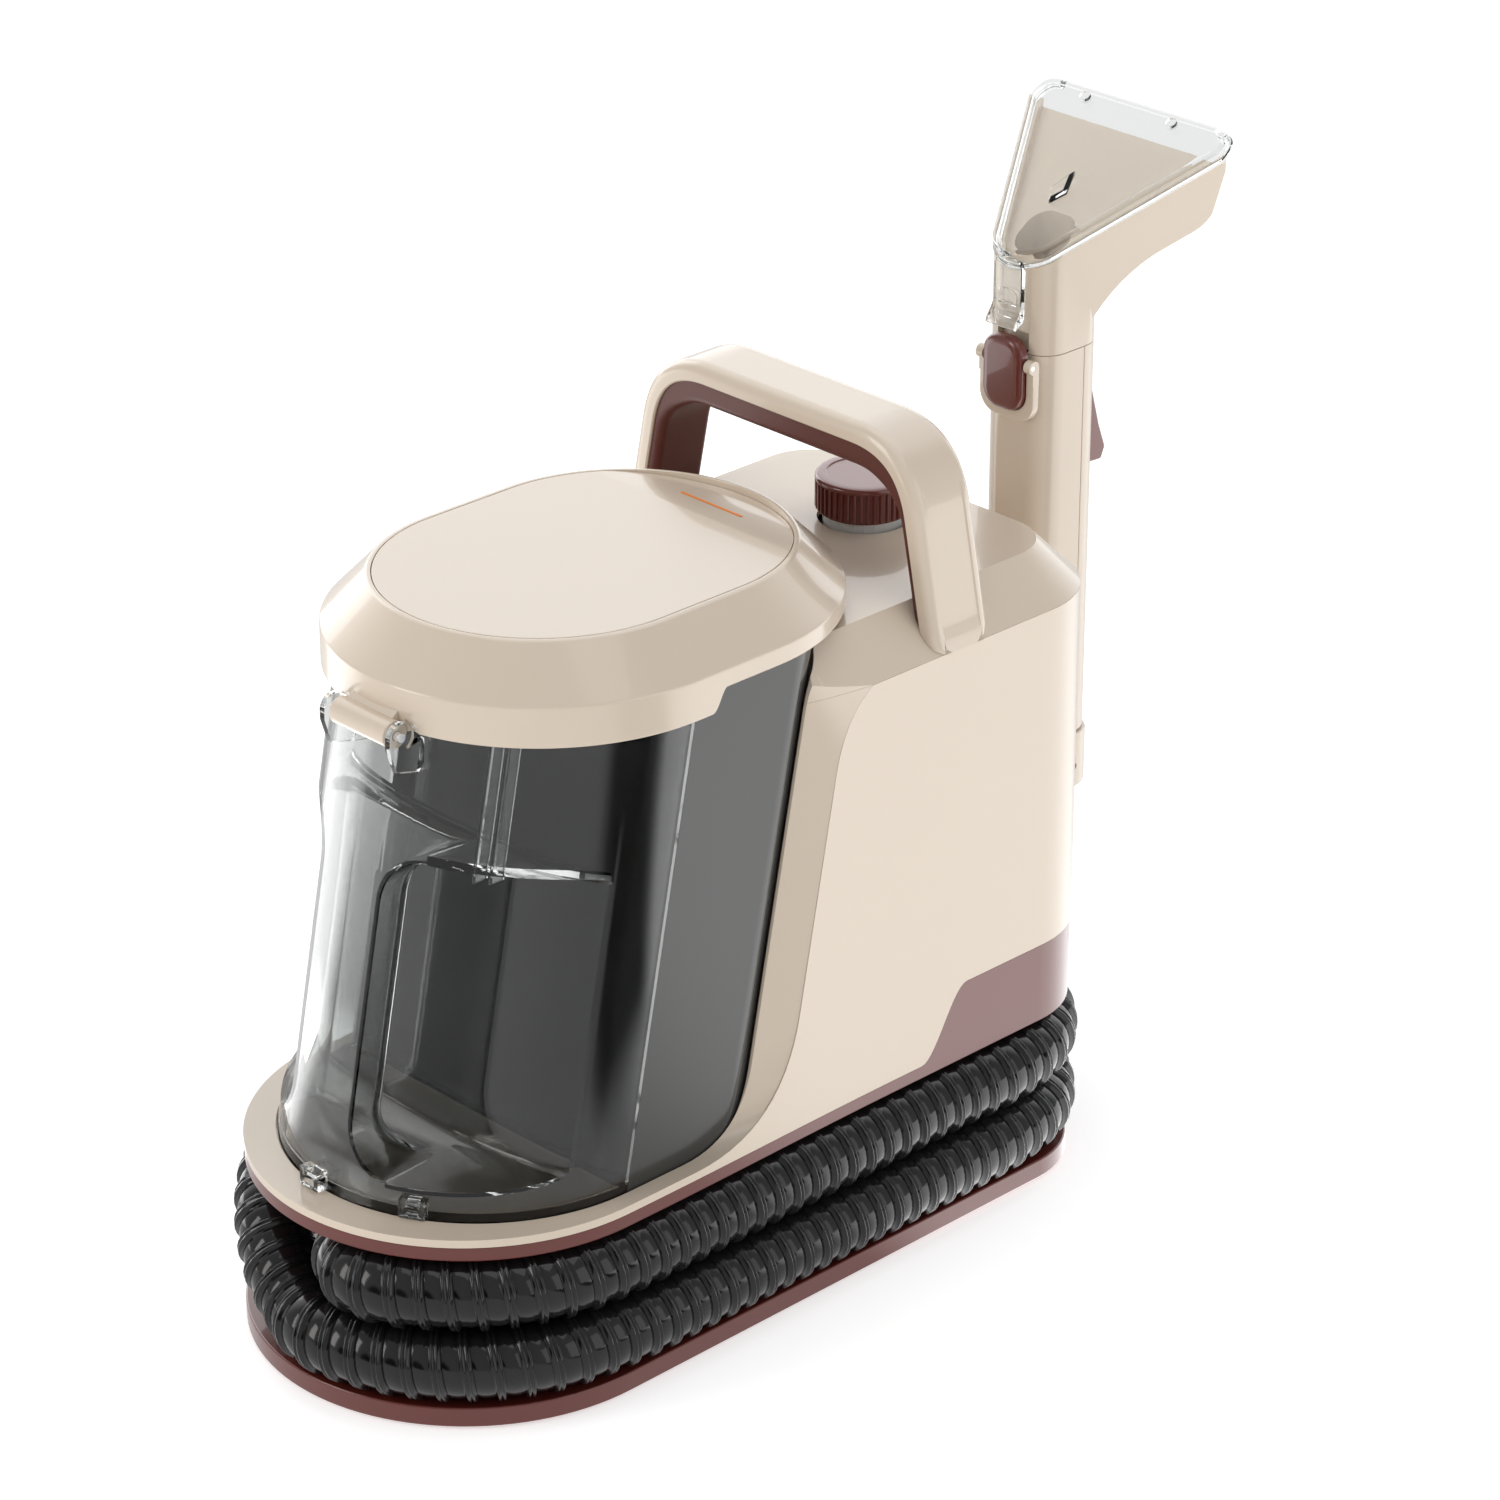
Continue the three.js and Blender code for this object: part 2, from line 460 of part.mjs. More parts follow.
function makeTank() {
  const tank = subGroup(cleaner, 0, -50, TANK.bottom);
  const frontTrim = box(-120, 120, -260, LID.step - 1, TANK.rim, 330);
  const inner = cut(tankWall(WALL, TANK.bottom + 3.5, 330), fingerCutter(WALL, false));
  const ears = [-1, 1].map((side) => {
    const x0 = side > 0 ? HINGE.ear : -HINGE.ear - HINGE.earThick;
    const lug = join(rodX(6.5, x0, x0 + HINGE.earThick, HINGE.y, HINGE.z, 20),
      box(x0, x0 + HINGE.earThick, HINGE.y - 6, -138.5, 284, TANK.rim),
      box(x0, x0 + HINGE.earThick, HINGE.y - 6.4, HINGE.y + 5, 290, HINGE.z));
    return cut(lug, rodX(HINGE.pin + GAP, -30, 30, HINGE.y, HINGE.z, 16));
  });
  const shell = cut(cut(tankWall(0, TANK.bottom, TANK.rearRim), frontTrim, fingerCutter(0, true)), inner);
  const innerKeep = cut(join(...ears), inner);
  put(tank, 'tank_shell', join(shell, innerKeep), clear);

  const boxOutline = (inset) => roundRect(TANK.half - WALL - GAP - inset, 36.5 - inset, 20 - inset,
    0, TANK.rear - WALL - GAP - 36.5);
  const separator = cut(solid(rake(prismZ(boxOutline(0), TANK.bottom + 4, 296))),
    solid(rake(prismZ(boxOutline(2), TANK.bottom + 6, 300))),
    rodY(15, -90, -40, 0, 160, 24));
  put(tank, 'separator_box', separator, smoke);
  const pipe = solid(rake(prismZ(roundRect(14, 14, 13.9, -40, -12), TANK.bottom + 6.5, 270)));
  const pipeBore = solid(rake(prismZ(roundRect(12, 12, 11.9, -40, -12), TANK.bottom + 9, 272)));
  put(tank, 'inlet_pipe', cut(pipe, pipeBore), smoke);

  const floatX = 45;
  const floatY = -14;
  const cage = cut(tubeZ(17, 15, 232, 288, floatX, floatY, 24), box(floatX - 30, floatX + 30, floatY - 5,
    floatY + 5, 240, 280));
  const cageTop = cut(rodZ(17, 286, 290, floatX, floatY, 24), rodZ(8, 280, 300, floatX, floatY, 20));
  const cageBottom = cut(rodZ(17, 230, 233, floatX, floatY, 24), rodZ(6, 220, 240, floatX, floatY, 16));
  put(tank, 'float_cage', join(cage, cageTop, cageBottom), white);
  const float = subGroup(tank, floatX, floatY, 233);
  put(float, 'shutoff_float', join(rodZ(13.5, 233.4, 252, floatX, floatY, 24),
    rodZ(6, 251, 258, floatX, floatY, 16)), orange);
  return tank;
}

// Lid: chamfered cover hinged on the front of the tank, its inset panel, accent bar, plate and gasket
function lidOutline(inset) {
  const half = LID.half - inset;
  const shape = new THREE.Shape();
  shape.absarc(0, LID.rear - LID.half, half, 0, Math.PI / 2);
  shape.absarc(0, LID.rear - LID.half, half, Math.PI / 2, Math.PI);
  shape.absarc(0, LID.front + LID.half, half, Math.PI, 1.5 * Math.PI);
  shape.absarc(0, LID.front + LID.half, half, 1.5 * Math.PI, 2 * Math.PI);
  shape.closePath();
  return shape;
}

function lidBlock(inset, bottom, top) {
  const drop = 60;
  const outline = lidOutline(inset);
  const geometry = prismZ(outline, bottom - drop, top, LID.inset);
  return common(solid(geometry), box(-120, 120, -200, 120, bottom, top + 5));
}

function makeLid(tank) {
  const lid = subGroup(tank, 0, HINGE.y, HINGE.z);
  const step = solid(prismX(stepLid(), -120, 120));
  const panelHole = solid(prismZ(lidOutline(LID.inset + 2), LID.top - 2.3, LID.top + 5));
  const lug = join(rodX(HINGE.barrel, -HINGE.barrelHalf, HINGE.barrelHalf, HINGE.y, HINGE.z),
    box(-HINGE.barrelHalf, HINGE.barrelHalf, HINGE.y - 1, HINGE.y + 8, HINGE.z, HINGE.z + HINGE.barrel));
  const earRoom = [-1, 1].map((side) => rodX(8, side > 0 ? 17.6 : -23.6, side > 0 ? 23.6 : -17.6,
    HINGE.y, HINGE.z, 24));
  const inside = lidBlock(WALL, LID.rim - 1, LID.top - 5.3);
  const shell = cut(cut(lidBlock(0, LID.rim, LID.top), step, panelHole, ...earRoom), inside);
  const body = cut(join(shell, lug), rodX(HINGE.pin + GAP, -30, 30, HINGE.y, HINGE.z, 16));
  put(lid, 'lid_shell', body, cream);
  const scoop = rodX(120, -32, 32, 72, LID.top + 118, 48);
  const bar = box(-19, 19, 57.4, 58.6, LID.top - 1.9, LID.top - 0.8);
  const barRoom = box(-19.3, 19.3, 57.1, 58.9, LID.top - 2.2, LID.top + 1);
  put(lid, 'lid_panel', cut(solid(prismZ(lidOutline(LID.inset + 2.3), LID.top - 2, LID.top)), scoop, barRoom),
    cream);
  put(lid, 'lid_accent', bar, orange);
  const plate = solid(prismZ(lidOutline(8), 313, 315));
  put(lid, 'lid_inner_plate', plate, cream);
  const gasket = cut(solid(prismZ(stadium(87, -135, 28, 20), 310.4, 313 - GAP)),
    solid(prismZ(stadium(84, -132, 25, 17), 300, 320)));
  put(lid, 'lid_gasket', gasket, rubber);
  put(tank, 'hinge_pin', rodX(HINGE.pin, -HINGE.ear - HINGE.earThick, HINGE.ear + HINGE.earThick,
    HINGE.y, HINGE.z, 16), steel);
}

function stepLid() {
  const shape = new THREE.Shape();
  shape.moveTo(LID.step - 4, 290);
  shape.lineTo(LID.step - 4, LID.rim);
  shape.bezierCurveTo(LID.step + 3, LID.rim, LID.step, LID.rearRim, LID.step + 8, LID.rearRim);
  shape.lineTo(140, LID.rearRim);
  shape.lineTo(140, 290);
  return shape;
}

// Wand: two half shells round a suction pipe, with the trigger, its valve and the head release
function wandBlock(grow, z0, z1) {
  return solid(prismZ(roundRect(WAND.half + grow, WAND.half + grow, WAND.corner + grow, 0, WAND.y), z0, z1));
}

function makeWand() {
  const wand = subGroup(cleaner, 0, WAND.y, WAND.cap);
  const low = WAND.capTop + GAP;
  const tube = cut(wandBlock(0, low, WAND.top - GAP), wandBlock(-2.6, low - 1, WAND.top + 1));
  const railHouse = box(-12.5, 12.5, 233, 239.2, low, 232);
  const railSlot = join(box(-5.6, 5.6, 228, 236, 120, 225.6), box(-9.6, 9.6, 233.8, 237.3, 120, 225.6));
  const buttonSlot = box(-9, 9, 228, 236, 336, 352);
  const frontHalf = box(-40, 40, 200, WAND.seam - GAP / 2, 100, 400);
  const rearHalf = box(-40, 40, WAND.seam + GAP / 2, 300, 100, 400);
  const triggerSlot = box(-TRIGGER.half - 0.5, TRIGGER.half + 0.5, 262, 290, 288, 341);
  const pinHole = rodX(1.9, -30, 30, TRIGGER.y, TRIGGER.z, 16);
  const bosses = [-1, 1].map((side) => box(side > 0 ? 8.2 : -17.6, side > 0 ? 17.6 : -8.2, 262, 270,
    TRIGGER.z - 4, TRIGGER.z + 4));
  put(wand, 'wand_front_shell', cut(common(join(tube, railHouse), frontHalf), railSlot, buttonSlot), cream);
  put(wand, 'wand_rear_shell', cut(join(common(tube, rearHalf), ...bosses), triggerSlot, pinHole), cream);
  const cap = cut(wandBlock(1.5, WAND.cap, WAND.capTop), wandBlock(-4, WAND.cap + 8, WAND.capTop + 1),
    rodZ(14.4, 100, 200, 0, WAND.y), box(-9.6, 9.6, 220, 237.3, 120, 170));
  put(wand, 'wand_end_cap', cap, cream);
  put(wand, 'wand_suction_pipe', tubeZ(8.6, 7.2, low + 3, WAND.top - 2, 0, 248.6, 24), smoke);

  const triggerGroup = subGroup(wand, 0, TRIGGER.y, TRIGGER.z);
  const outline = polygon([[263, 338], [270, 338.5], [276, 337], [279.5, 325], [284, 309], [288.5, 297],
    [286, 291], [279, 291.5], [270, 294], [268.6, 310], [264, 322]]);
  const lever = cut(solid(prismX(outline, -TRIGGER.half, TRIGGER.half)),
    rodX(1.9, -30, 30, TRIGGER.y, TRIGGER.z, 16));
  put(triggerGroup, 'spray_trigger', lever, maroon);
  put(wand, 'trigger_pin', rodX(1.5, -15, 15, TRIGGER.y, TRIGGER.z, 16), steel);
  const valve = cut(box(-6, 6, 258.4, 263, 300, 316), rodY(2.4, 259, 270, 0, 306, 16));
  put(wand, 'spray_valve', valve, black);
  const plunger = subGroup(wand, 0, 263, 306);
  put(plunger, 'valve_plunger', join(rodY(2, 262.6, 268.5, 0, 306, 16),
    rodY(3.4, 266.8, 268.5, 0, 306, 16)), steel);

  const release = subGroup(wand, 0, BUTTON.pinY, BUTTON.pinZ);
  const pad = solid(prismY(roundRect(BUTTON.half, BUTTON.height, 9, 0, BUTTON.z), 225, 229.4));
  const padBody = join(pad, box(-7, 7, 229, 238, 338, 350));
  put(release, 'release_button', cut(padBody, rodX(1.6, -30, 30, BUTTON.pinY - 2, BUTTON.pinZ, 12)), maroon);
  const bezelOuter = common(solid(prismY(roundRect(17, 16, 10, 0, 343), 228, 231.7)),
    box(-30, 30, 200, 240, 325, 357));
  const holeOutline = roundRect(BUTTON.half + 0.5, BUTTON.height + 0.5, 9.4, 0, BUTTON.z);
  const bezelHole = solid(prismY(holeOutline, 220, 240));
  const bezel = cut(bezelOuter, bezelHole, rodX(1.6, -30, 30, BUTTON.pinY - 2, BUTTON.pinZ, 12));
  put(wand, 'button_bezel', bezel, cream);
  put(wand, 'release_pin', rodX(1.2, -16.5, 16.5, BUTTON.pinY - 2, BUTTON.pinZ, 12), steel);
  return wand;
}

// Tool head: a flat suction mouth under a clear cover, with a brush and a spray nozzle
function headPlan(inset) {
  const r = HEAD.apexRadius - inset;
  const corner = Math.max(9 - inset, 2);
  const half = HEAD.half - inset;
  const end = HEAD.length - inset;
  const shape = new THREE.Shape();
  shape.absarc(0, HEAD.apexRadius, r, Math.PI + 0.42, 2 * Math.PI - 0.42);
  shape.lineTo(half, end - corner - 4);
  shape.quadraticCurveTo(half, end, half - corner, end);
  shape.lineTo(-half + corner, end);
  shape.quadraticCurveTo(-half, end, -half, end - corner - 4);
  return shape;
}

function headSlab(inset, low, high) {
  const geometry = prismZ(headPlan(inset), low, high);
  return solid(geometry.rotateX((HEAD.tilt * Math.PI) / 180).translate(0, HEAD.apexY - 1.5, HEAD.apexZ));
}

// The slot at the far end of the head, through which the dirt is sucked in
function headMouth(low, high) {
  const outline = polygon([[-47, HEAD.length - 12], [47, HEAD.length - 12], [47, HEAD.length + 6],
    [-47, HEAD.length + 6]]);
  return solid(prismZ(outline, low, high).rotateX((HEAD.tilt * Math.PI) / 180)
    .translate(0, HEAD.apexY - 1.5, HEAD.apexZ));
}

function makeHead(wand) {
  const head = subGroup(wand, 0, WAND.y, WAND.top);
  const sideOuter = polygon([[200, 340], [200, 470], [312.5, 470], [310.5, 419], [306, 410], [298, 404],
    [272, 385.5], [262, 370], [262, 340]]);
  const wedge = common(headSlab(0, -70, 0), solid(prismX(sideOuter, -70, 70)));
  const underSlab = cut(box(-60, 60, 200, 330, 300, 460), headSlab(-60, 0, 80));
  const neck = common(wandBlock(0, WAND.top, 440), underSlab);
  const outer = common(join(wedge, neck), box(-60, 60, 200, 340, WAND.top, 470));
  const sideInner = polygon([[236, 385], [236, 470], [330, 470], [330, 432], [300, 422], [276, 398],
    [262, 385]]);
  const cavity = common(headSlab(4, -60, 3), solid(prismX(sideInner, -70, 70)));
  const bore = solid(prismZ(roundRect(14, 14, 10, 0, WAND.y), WAND.top - 2, 398));
  const hookRoom = box(-9.5, 9.5, 225, 236, 340, 368);
  const lowBore = common(bore, box(-60, 60, 200, 330, 300, 402));
  put(head, 'head_body', cut(outer, cavity, lowBore, hookRoom, headMouth(-4, 1)), cream);

  const cover = subGroup(head, 0, 314.9, 449.7);
  const dome = cut(headSlab(0, GAP, 8), headSlab(2.2, -2, 5.6), headMouth(-2, 4));
  const tab = box(-8.5, 8.5, 227.5, 230.2, 372, 402);
  const tabRoot = cut(box(-8.5, 8.5, 227.5, 236, 399, 403.5), headSlab(-60, -40, GAP));
  put(cover, 'head_cover', cut(join(dome, tabRoot, tab), wandBlock(GAP, 300, 396.5)), clear);
  put(head, 'head_brush', box(-46, 46, 312.9, 318, 421, 431), rubber);
  put(head, 'spray_nozzle', join(rodY(3.5, 312.9, 317, 0, 415, 16), rodY(2, 312.9, 319, 0, 415, 12)), grey);
}

// Hose: from the port in the front of the waist, one and a half turns round the core, and up to the wand
function hoseRoute() {
  const { half, front, rear, corner, low, high } = HOSE;
  const centre = front + half;
  const points = [[PORT.x, PORT.front - GAP, high], [PORT.x, -168, high], [PORT.x + 11, -182, high],
    [34, -183, high]];
  const ring = (degrees, radius, z) => points.push([radius * Math.cos((degrees * Math.PI) / 180),
    centre + radius * Math.sin((degrees * Math.PI) / 180), z]);
  [-52, -34, -16, 0].forEach((angle) => ring(angle, half - 1, high));
  [-50, 0, 50, 100].forEach((y) => points.push([half - 0.5, y, high]));
  const back = (side, degrees, z) => points.push([
    side * (half - corner) + corner * Math.cos((degrees * Math.PI) / 180),
    rear - corner + corner * Math.sin((degrees * Math.PI) / 180), z]);
  [0, 30, 60, 90].forEach((angle) => back(1, angle, high));
  points.push([0, rear, high]);
  [90, 120, 150, 180].forEach((angle) => back(-1, angle, high));
  [90, 40, -10, -60].forEach((y) => points.push([-half, y, high]));
  const drop = [[180, 0], [197, 0], [214, 0.04], [231, 0.3], [246, 0.68], [259, 0.94], [272, 1], [288, 1],
    [306, 1], [324, 1], [342, 1], [360, 1]];
  drop.forEach(([angle, share]) => ring(angle, angle > 190 && angle < 265 ? half - 4 : half,
    high + (low - high) * share));
  [-50, 0, 50, 100].forEach((y) => points.push([half + 1, y, low]));
  [0, 30, 60].forEach((angle) => back(1, angle, low));
  points.push([30, rear + 2, low], [13, rear + 11, 30], [2, rear + 30, 40], [-2, rear + 45, 62],
    [0, rear + 52, 88], [0, WAND.y, 104], [0, WAND.y, 117.7]);
  return points.map((p) => new THREE.Vector3(...p));
}

function makeHose(wand) {
  const curve = new THREE.CatmullRomCurve3(hoseRoute(), false, 'centripetal');
  put(cleaner, 'suction_hose', solid(tubeAlong(curve, HOSE.radius, 66, 10)), black);
  const cuff = cut(join(rodZ(18, 118, WAND.cap - GAP, 0, WAND.y), rodZ(14, 130, WAND.cap + 7, 0, WAND.y)),
    rodZ(11, 100, 160, 0, WAND.y, 24));
  put(wand, 'hose_cuff', cuff, black);
}

makeBase();
makeWaist();
makeSkirt();
makeHousing();
makeCleanTank();
makeHandle();
makeMotor();
makePump();
makeBack();
const dirtyTank = makeTank();
makeLid(dirtyTank);
const wandGroup = makeWand();
makeHead(wandGroup);
makeHose(wandGroup);

// The origin is the bottom centre of the machine's box, the hose left out
const ORIGIN_Y = (BASE.front + 319) / 2;
cleaner.position.y = -ORIGIN_Y;

export default cleaner;
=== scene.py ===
import math

import bmesh
import bpy
from mathutils import Matrix, Vector


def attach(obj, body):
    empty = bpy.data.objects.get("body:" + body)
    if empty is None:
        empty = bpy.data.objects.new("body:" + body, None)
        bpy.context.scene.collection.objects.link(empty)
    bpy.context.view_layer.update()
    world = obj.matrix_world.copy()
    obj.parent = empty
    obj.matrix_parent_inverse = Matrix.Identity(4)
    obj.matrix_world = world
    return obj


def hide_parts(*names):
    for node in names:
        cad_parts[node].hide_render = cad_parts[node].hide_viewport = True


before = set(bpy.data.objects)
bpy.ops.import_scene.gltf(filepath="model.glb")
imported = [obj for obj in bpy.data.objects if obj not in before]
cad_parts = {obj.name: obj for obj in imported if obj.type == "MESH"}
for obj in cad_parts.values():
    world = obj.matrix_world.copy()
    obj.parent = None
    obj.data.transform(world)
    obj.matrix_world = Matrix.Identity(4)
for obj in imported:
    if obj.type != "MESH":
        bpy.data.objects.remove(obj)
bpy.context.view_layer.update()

# ---------------------------------------------------------------- camera and studio
# A long lens looks down on the tank end from the front right. The studio is a pale floor under a big
# overhead softbox, with tall softboxes at both sides and in front, as for a shot of glossy plastic.
camera_data = bpy.data.cameras.new("camera")
camera_data.lens = 123.94
camera_data.sensor_width = 36.0
camera_data.clip_end = 20.0
camera = bpy.data.objects.new("camera", camera_data)
bpy.context.scene.collection.objects.link(camera)
camera_place = Vector((1.46932, -1.41912, 1.20933))
camera_target = Vector((-0.005969, 0.014024, 0.209413))
camera.location = camera_place
camera.rotation_euler = (camera_target - camera_place).to_track_quat("-Z", "Y").to_euler()
bpy.context.scene.camera = camera
bpy.context.scene.view_settings.view_transform = "Standard"


def add_node(tree, kind, settings=None, **inputs):
    """A node whose inputs, named with _ for a space, take a plain value or another node's output."""
    node = tree.nodes.new(kind)
    for name, value in (settings or {}).items():
        setattr(node, name, value)
    for name, value in inputs.items():
        numbered = name.startswith("in") and name[2:].isdigit()
        socket = node.inputs[int(name[2:]) if numbered else name.replace("_", " ")]
        if isinstance(value, bpy.types.NodeSocket):
            tree.links.new(value, socket)
        else:
            socket.default_value = value
    return node


def softbox(name, place, aim, width, height, power, colour=(1.0, 1.0, 1.0)):
    """A rectangular studio light at a place, turned to face a point."""
    data = bpy.data.lights.new(name, "AREA")
    data.shape = "RECTANGLE"
    data.size = width
    data.size_y = height
    data.energy = power
    data.color = colour
    light = bpy.data.objects.new(name, data)
    light.location = place
    direction = Vector(aim) - Vector(place)
    light.rotation_euler = direction.to_track_quat("-Z", "Y").to_euler()
    bpy.context.scene.collection.objects.link(light)


softbox("overhead_softbox", (0.15, 0.1, 1.75), (0.0, 0.0, 0.2), 1.5, 1.5, 6.5)
softbox("right_softbox", (1.9, 0.35, 0.75), (0.0, 0.0, 0.2), 1.3, 1.5, 5.3)
softbox("front_softbox", (-0.75, -1.9, 0.95), (0.0, -0.1, 0.15), 0.7, 1.3, 11.5, (1.0, 0.97, 0.93))
softbox("left_softbox", (-1.9, 0.2, 0.9), (0.0, 0.0, 0.2), 1.0, 1.6, 7.0)

world = bpy.data.worlds.new("studio_world")
world.use_nodes = True
bpy.context.scene.world = world
sky = world.node_tree
sky.nodes.clear()
eye = add_node(sky, "ShaderNodeLightPath").outputs
heading = add_node(sky, "ShaderNodeTexCoord").outputs["Generated"]


def towards(direction, start, end):
    """How nearly a ray heads a certain way, from 0 at the start cosine to 1 at the end cosine."""
    facing = add_node(sky, "ShaderNodeVectorMath", {"operation": "DOT_PRODUCT"}, in0=heading, in1=direction)
    return add_node(sky, "ShaderNodeMapRange", {"interpolation_type": "SMOOTHSTEP"},
                    in0=facing.outputs["Value"], in1=start, in2=end).outputs[0]


# What the gloss mirrors: a bright wall behind the machine and a dark corner in front of it.
behind = towards((-0.65, 0.62, 0.44), 0.35, 0.8)
dark_corner = towards((0.28, -0.96, 0.0), 0.90, 0.97)
wall_glow = add_node(sky, "ShaderNodeMath", {"operation": "MULTIPLY_ADD"}, in0=behind, in1=1.5, in2=0.5)
mirrored = add_node(sky, "ShaderNodeMath", {"operation": "MULTIPLY_ADD"}, in0=dark_corner, in1=-0.6,
                    in2=wall_glow.outputs[0])
room_light = add_node(sky, "ShaderNodeBackground", Color=(0.95, 0.96, 0.98, 1.0), Strength=0.42)
mirror_light = add_node(sky, "ShaderNodeBackground", Color=(1.0, 1.0, 1.0, 1.0), Strength=mirrored.outputs[0])
backdrop = add_node(sky, "ShaderNodeBackground", Color=(1.0, 1.0, 1.0, 1.0), Strength=1.0)
lit = add_node(sky, "ShaderNodeMixShader", in0=eye["Is Glossy Ray"], in1=room_light.outputs[0],
               in2=mirror_light.outputs[0])
seen = add_node(sky, "ShaderNodeMath", {"operation": "MAXIMUM"}, in0=eye["Is Camera Ray"],
                in1=eye["Is Transmission Ray"])
choose = add_node(sky, "ShaderNodeMixShader", in0=seen.outputs[0], in1=lit.outputs[0],
                  in2=backdrop.outputs[0])
add_node(sky, "ShaderNodeOutputWorld", Surface=choose.outputs[0])

FLOOR_REACH = 6.0
floor_mesh = bpy.data.meshes.new("studio_floor")
floor_mesh.from_pydata([(-FLOOR_REACH, -FLOOR_REACH, 0.0), (FLOOR_REACH, -FLOOR_REACH, 0.0),
                        (FLOOR_REACH, FLOOR_REACH, 0.0), (-FLOOR_REACH, FLOOR_REACH, 0.0)],
                       [], [(0, 1, 2, 3)])
floor = bpy.data.objects.new("studio_floor", floor_mesh)
bpy.context.scene.collection.objects.link(floor)
floor_paint = bpy.data.materials.new("pale_floor")
floor_paint.use_nodes = True
floor_shader = floor_paint.node_tree.nodes["Principled BSDF"]
floor_shader.inputs["Base Color"].default_value = (0.94, 0.94, 0.94, 1.0)
floor_shader.inputs["Roughness"].default_value = 0.9
floor_shader.inputs["Emission Color"].default_value = (1.0, 1.0, 1.0, 1.0)
floor_shader.inputs["Emission Strength"].default_value = 0.55
floor_tree = floor_paint.node_tree


def floor_towards(direction, start, end):
    """How nearly a spot on the floor lies a certain way from the machine, from 0 to 1."""
    spot_way = add_node(floor_tree, "ShaderNodeVectorMath", {"operation": "NORMALIZE"},
                        in0=add_node(floor_tree, "ShaderNodeTexCoord").outputs["Object"])
    facing = add_node(floor_tree, "ShaderNodeVectorMath", {"operation": "DOT_PRODUCT"},
                      in0=spot_way.outputs[0], in1=direction)
    return add_node(floor_tree, "ShaderNodeMapRange", {"interpolation_type": "SMOOTHSTEP"},
                    in0=facing.outputs["Value"], in1=start, in2=end).outputs[0]


# Only glossy rays see the floor glow: a painted bright sweep to the right of the machine, a narrow painted
# one to the front left, and a painted dark flag beside the machine, all seen as reflections in the gloss.
sweep = add_node(floor_tree, "ShaderNodeMath", {"operation": "MULTIPLY_ADD"},
                 in0=floor_towards((0.66, 0.75, 0.0), 0.55, 0.95), in1=1.6, in2=0.8)
left_sweep = add_node(floor_tree, "ShaderNodeMath", {"operation": "MULTIPLY_ADD"},
                      in0=floor_towards((-0.906, -0.423, 0.0), 0.93, 0.99), in1=2.2, in2=sweep.outputs[0])
spot_distance = add_node(floor_tree, "ShaderNodeVectorMath", {"operation": "LENGTH"},
                         in0=add_node(floor_tree, "ShaderNodeTexCoord").outputs["Object"]).outputs["Value"]
away = add_node(floor_tree, "ShaderNodeMapRange", {"interpolation_type": "SMOOTHSTEP"}, in0=spot_distance,
                in1=0.28, in2=0.42)
flag_shade = add_node(floor_tree, "ShaderNodeMath", {"operation": "MULTIPLY"}, in0=away.outputs[0],
                      in1=floor_towards((0.999, -0.05, 0.0), 0.955, 0.992))
flag = add_node(floor_tree, "ShaderNodeMath", {"operation": "MULTIPLY_ADD"}, in0=flag_shade.outputs[0],
                in1=-1.0, in2=1.0)
mirrored_floor = add_node(floor_tree, "ShaderNodeMath", {"operation": "MULTIPLY"}, in0=left_sweep.outputs[0],
                          in1=flag.outputs[0])
floor_glow = add_node(floor_tree, "ShaderNodeEmission", Strength=mirrored_floor.outputs[0])
floor_choice = add_node(floor_tree, "ShaderNodeMixShader",
                        in0=add_node(floor_tree, "ShaderNodeLightPath").outputs["Is Glossy Ray"],
                        in1=floor_shader.outputs[0], in2=floor_glow.outputs[0])
floor_tree.links.new(floor_choice.outputs[0], floor_tree.nodes["Material Output"].inputs["Surface"])
floor_mesh.materials.append(floor_paint)

# ---------------------------------------------------------------- suction hose
# A blown black hose with a spiral of twin ribs. It leaves the front port, goes one and a half turns
# round the waist, and rises behind the body into the cuff under the wand.
ORIGIN_Y = 59.5   # the drawings measure y from the middle of the base, this many mm ahead of the frame


def in_frame(point):
    """A drawing point in millimetres as a frame point in metres."""
    return (point[0] / 1000.0, (point[1] - ORIGIN_Y) / 1000.0, point[2] / 1000.0)


def new_piece(name, points, faces):
    """A closed mesh piece from drawing points, with its faces turned outwards."""
    mesh = bpy.data.meshes.new(name)
    mesh.from_pydata([in_frame(p) for p in points], [], faces)
    tidy_normals(mesh)
    piece = bpy.data.objects.new(name, mesh)
    bpy.context.scene.collection.objects.link(piece)
    return piece


def tidy_normals(mesh):
    """Merges doubles, closes pinholes and turns the faces of a closed mesh outwards."""
    work = bmesh.new()
    work.from_mesh(mesh)
    bmesh.ops.remove_doubles(work, verts=work.verts, dist=1e-6)
    bmesh.ops.holes_fill(work, edges=[edge for edge in work.edges if edge.is_boundary], sides=0)
    bmesh.ops.recalc_face_normals(work, faces=work.faces)
    work.to_mesh(mesh)
    work.free()


def settle(piece):
    """Turns a piece's modifiers into its plain mesh."""
    bpy.context.view_layer.update()
    graph = bpy.context.evaluated_depsgraph_get()
    mesh = bpy.data.meshes.new_from_object(piece.evaluated_get(graph), preserve_all_data_layers=True,
                                           depsgraph=graph)
    mesh.name = piece.name
    piece.modifiers.clear()
    piece.data = mesh
    return piece


def put_in_place(piece, body, material, slot, *nodes):
    """Gives a piece its material and its body, and hides the CAD nodes it stands for. The slot is not used.
    """
    piece.data.materials.clear()
    piece.data.materials.append(material)
    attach(piece, body)
    if nodes:
        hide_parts(*nodes)
    return piece


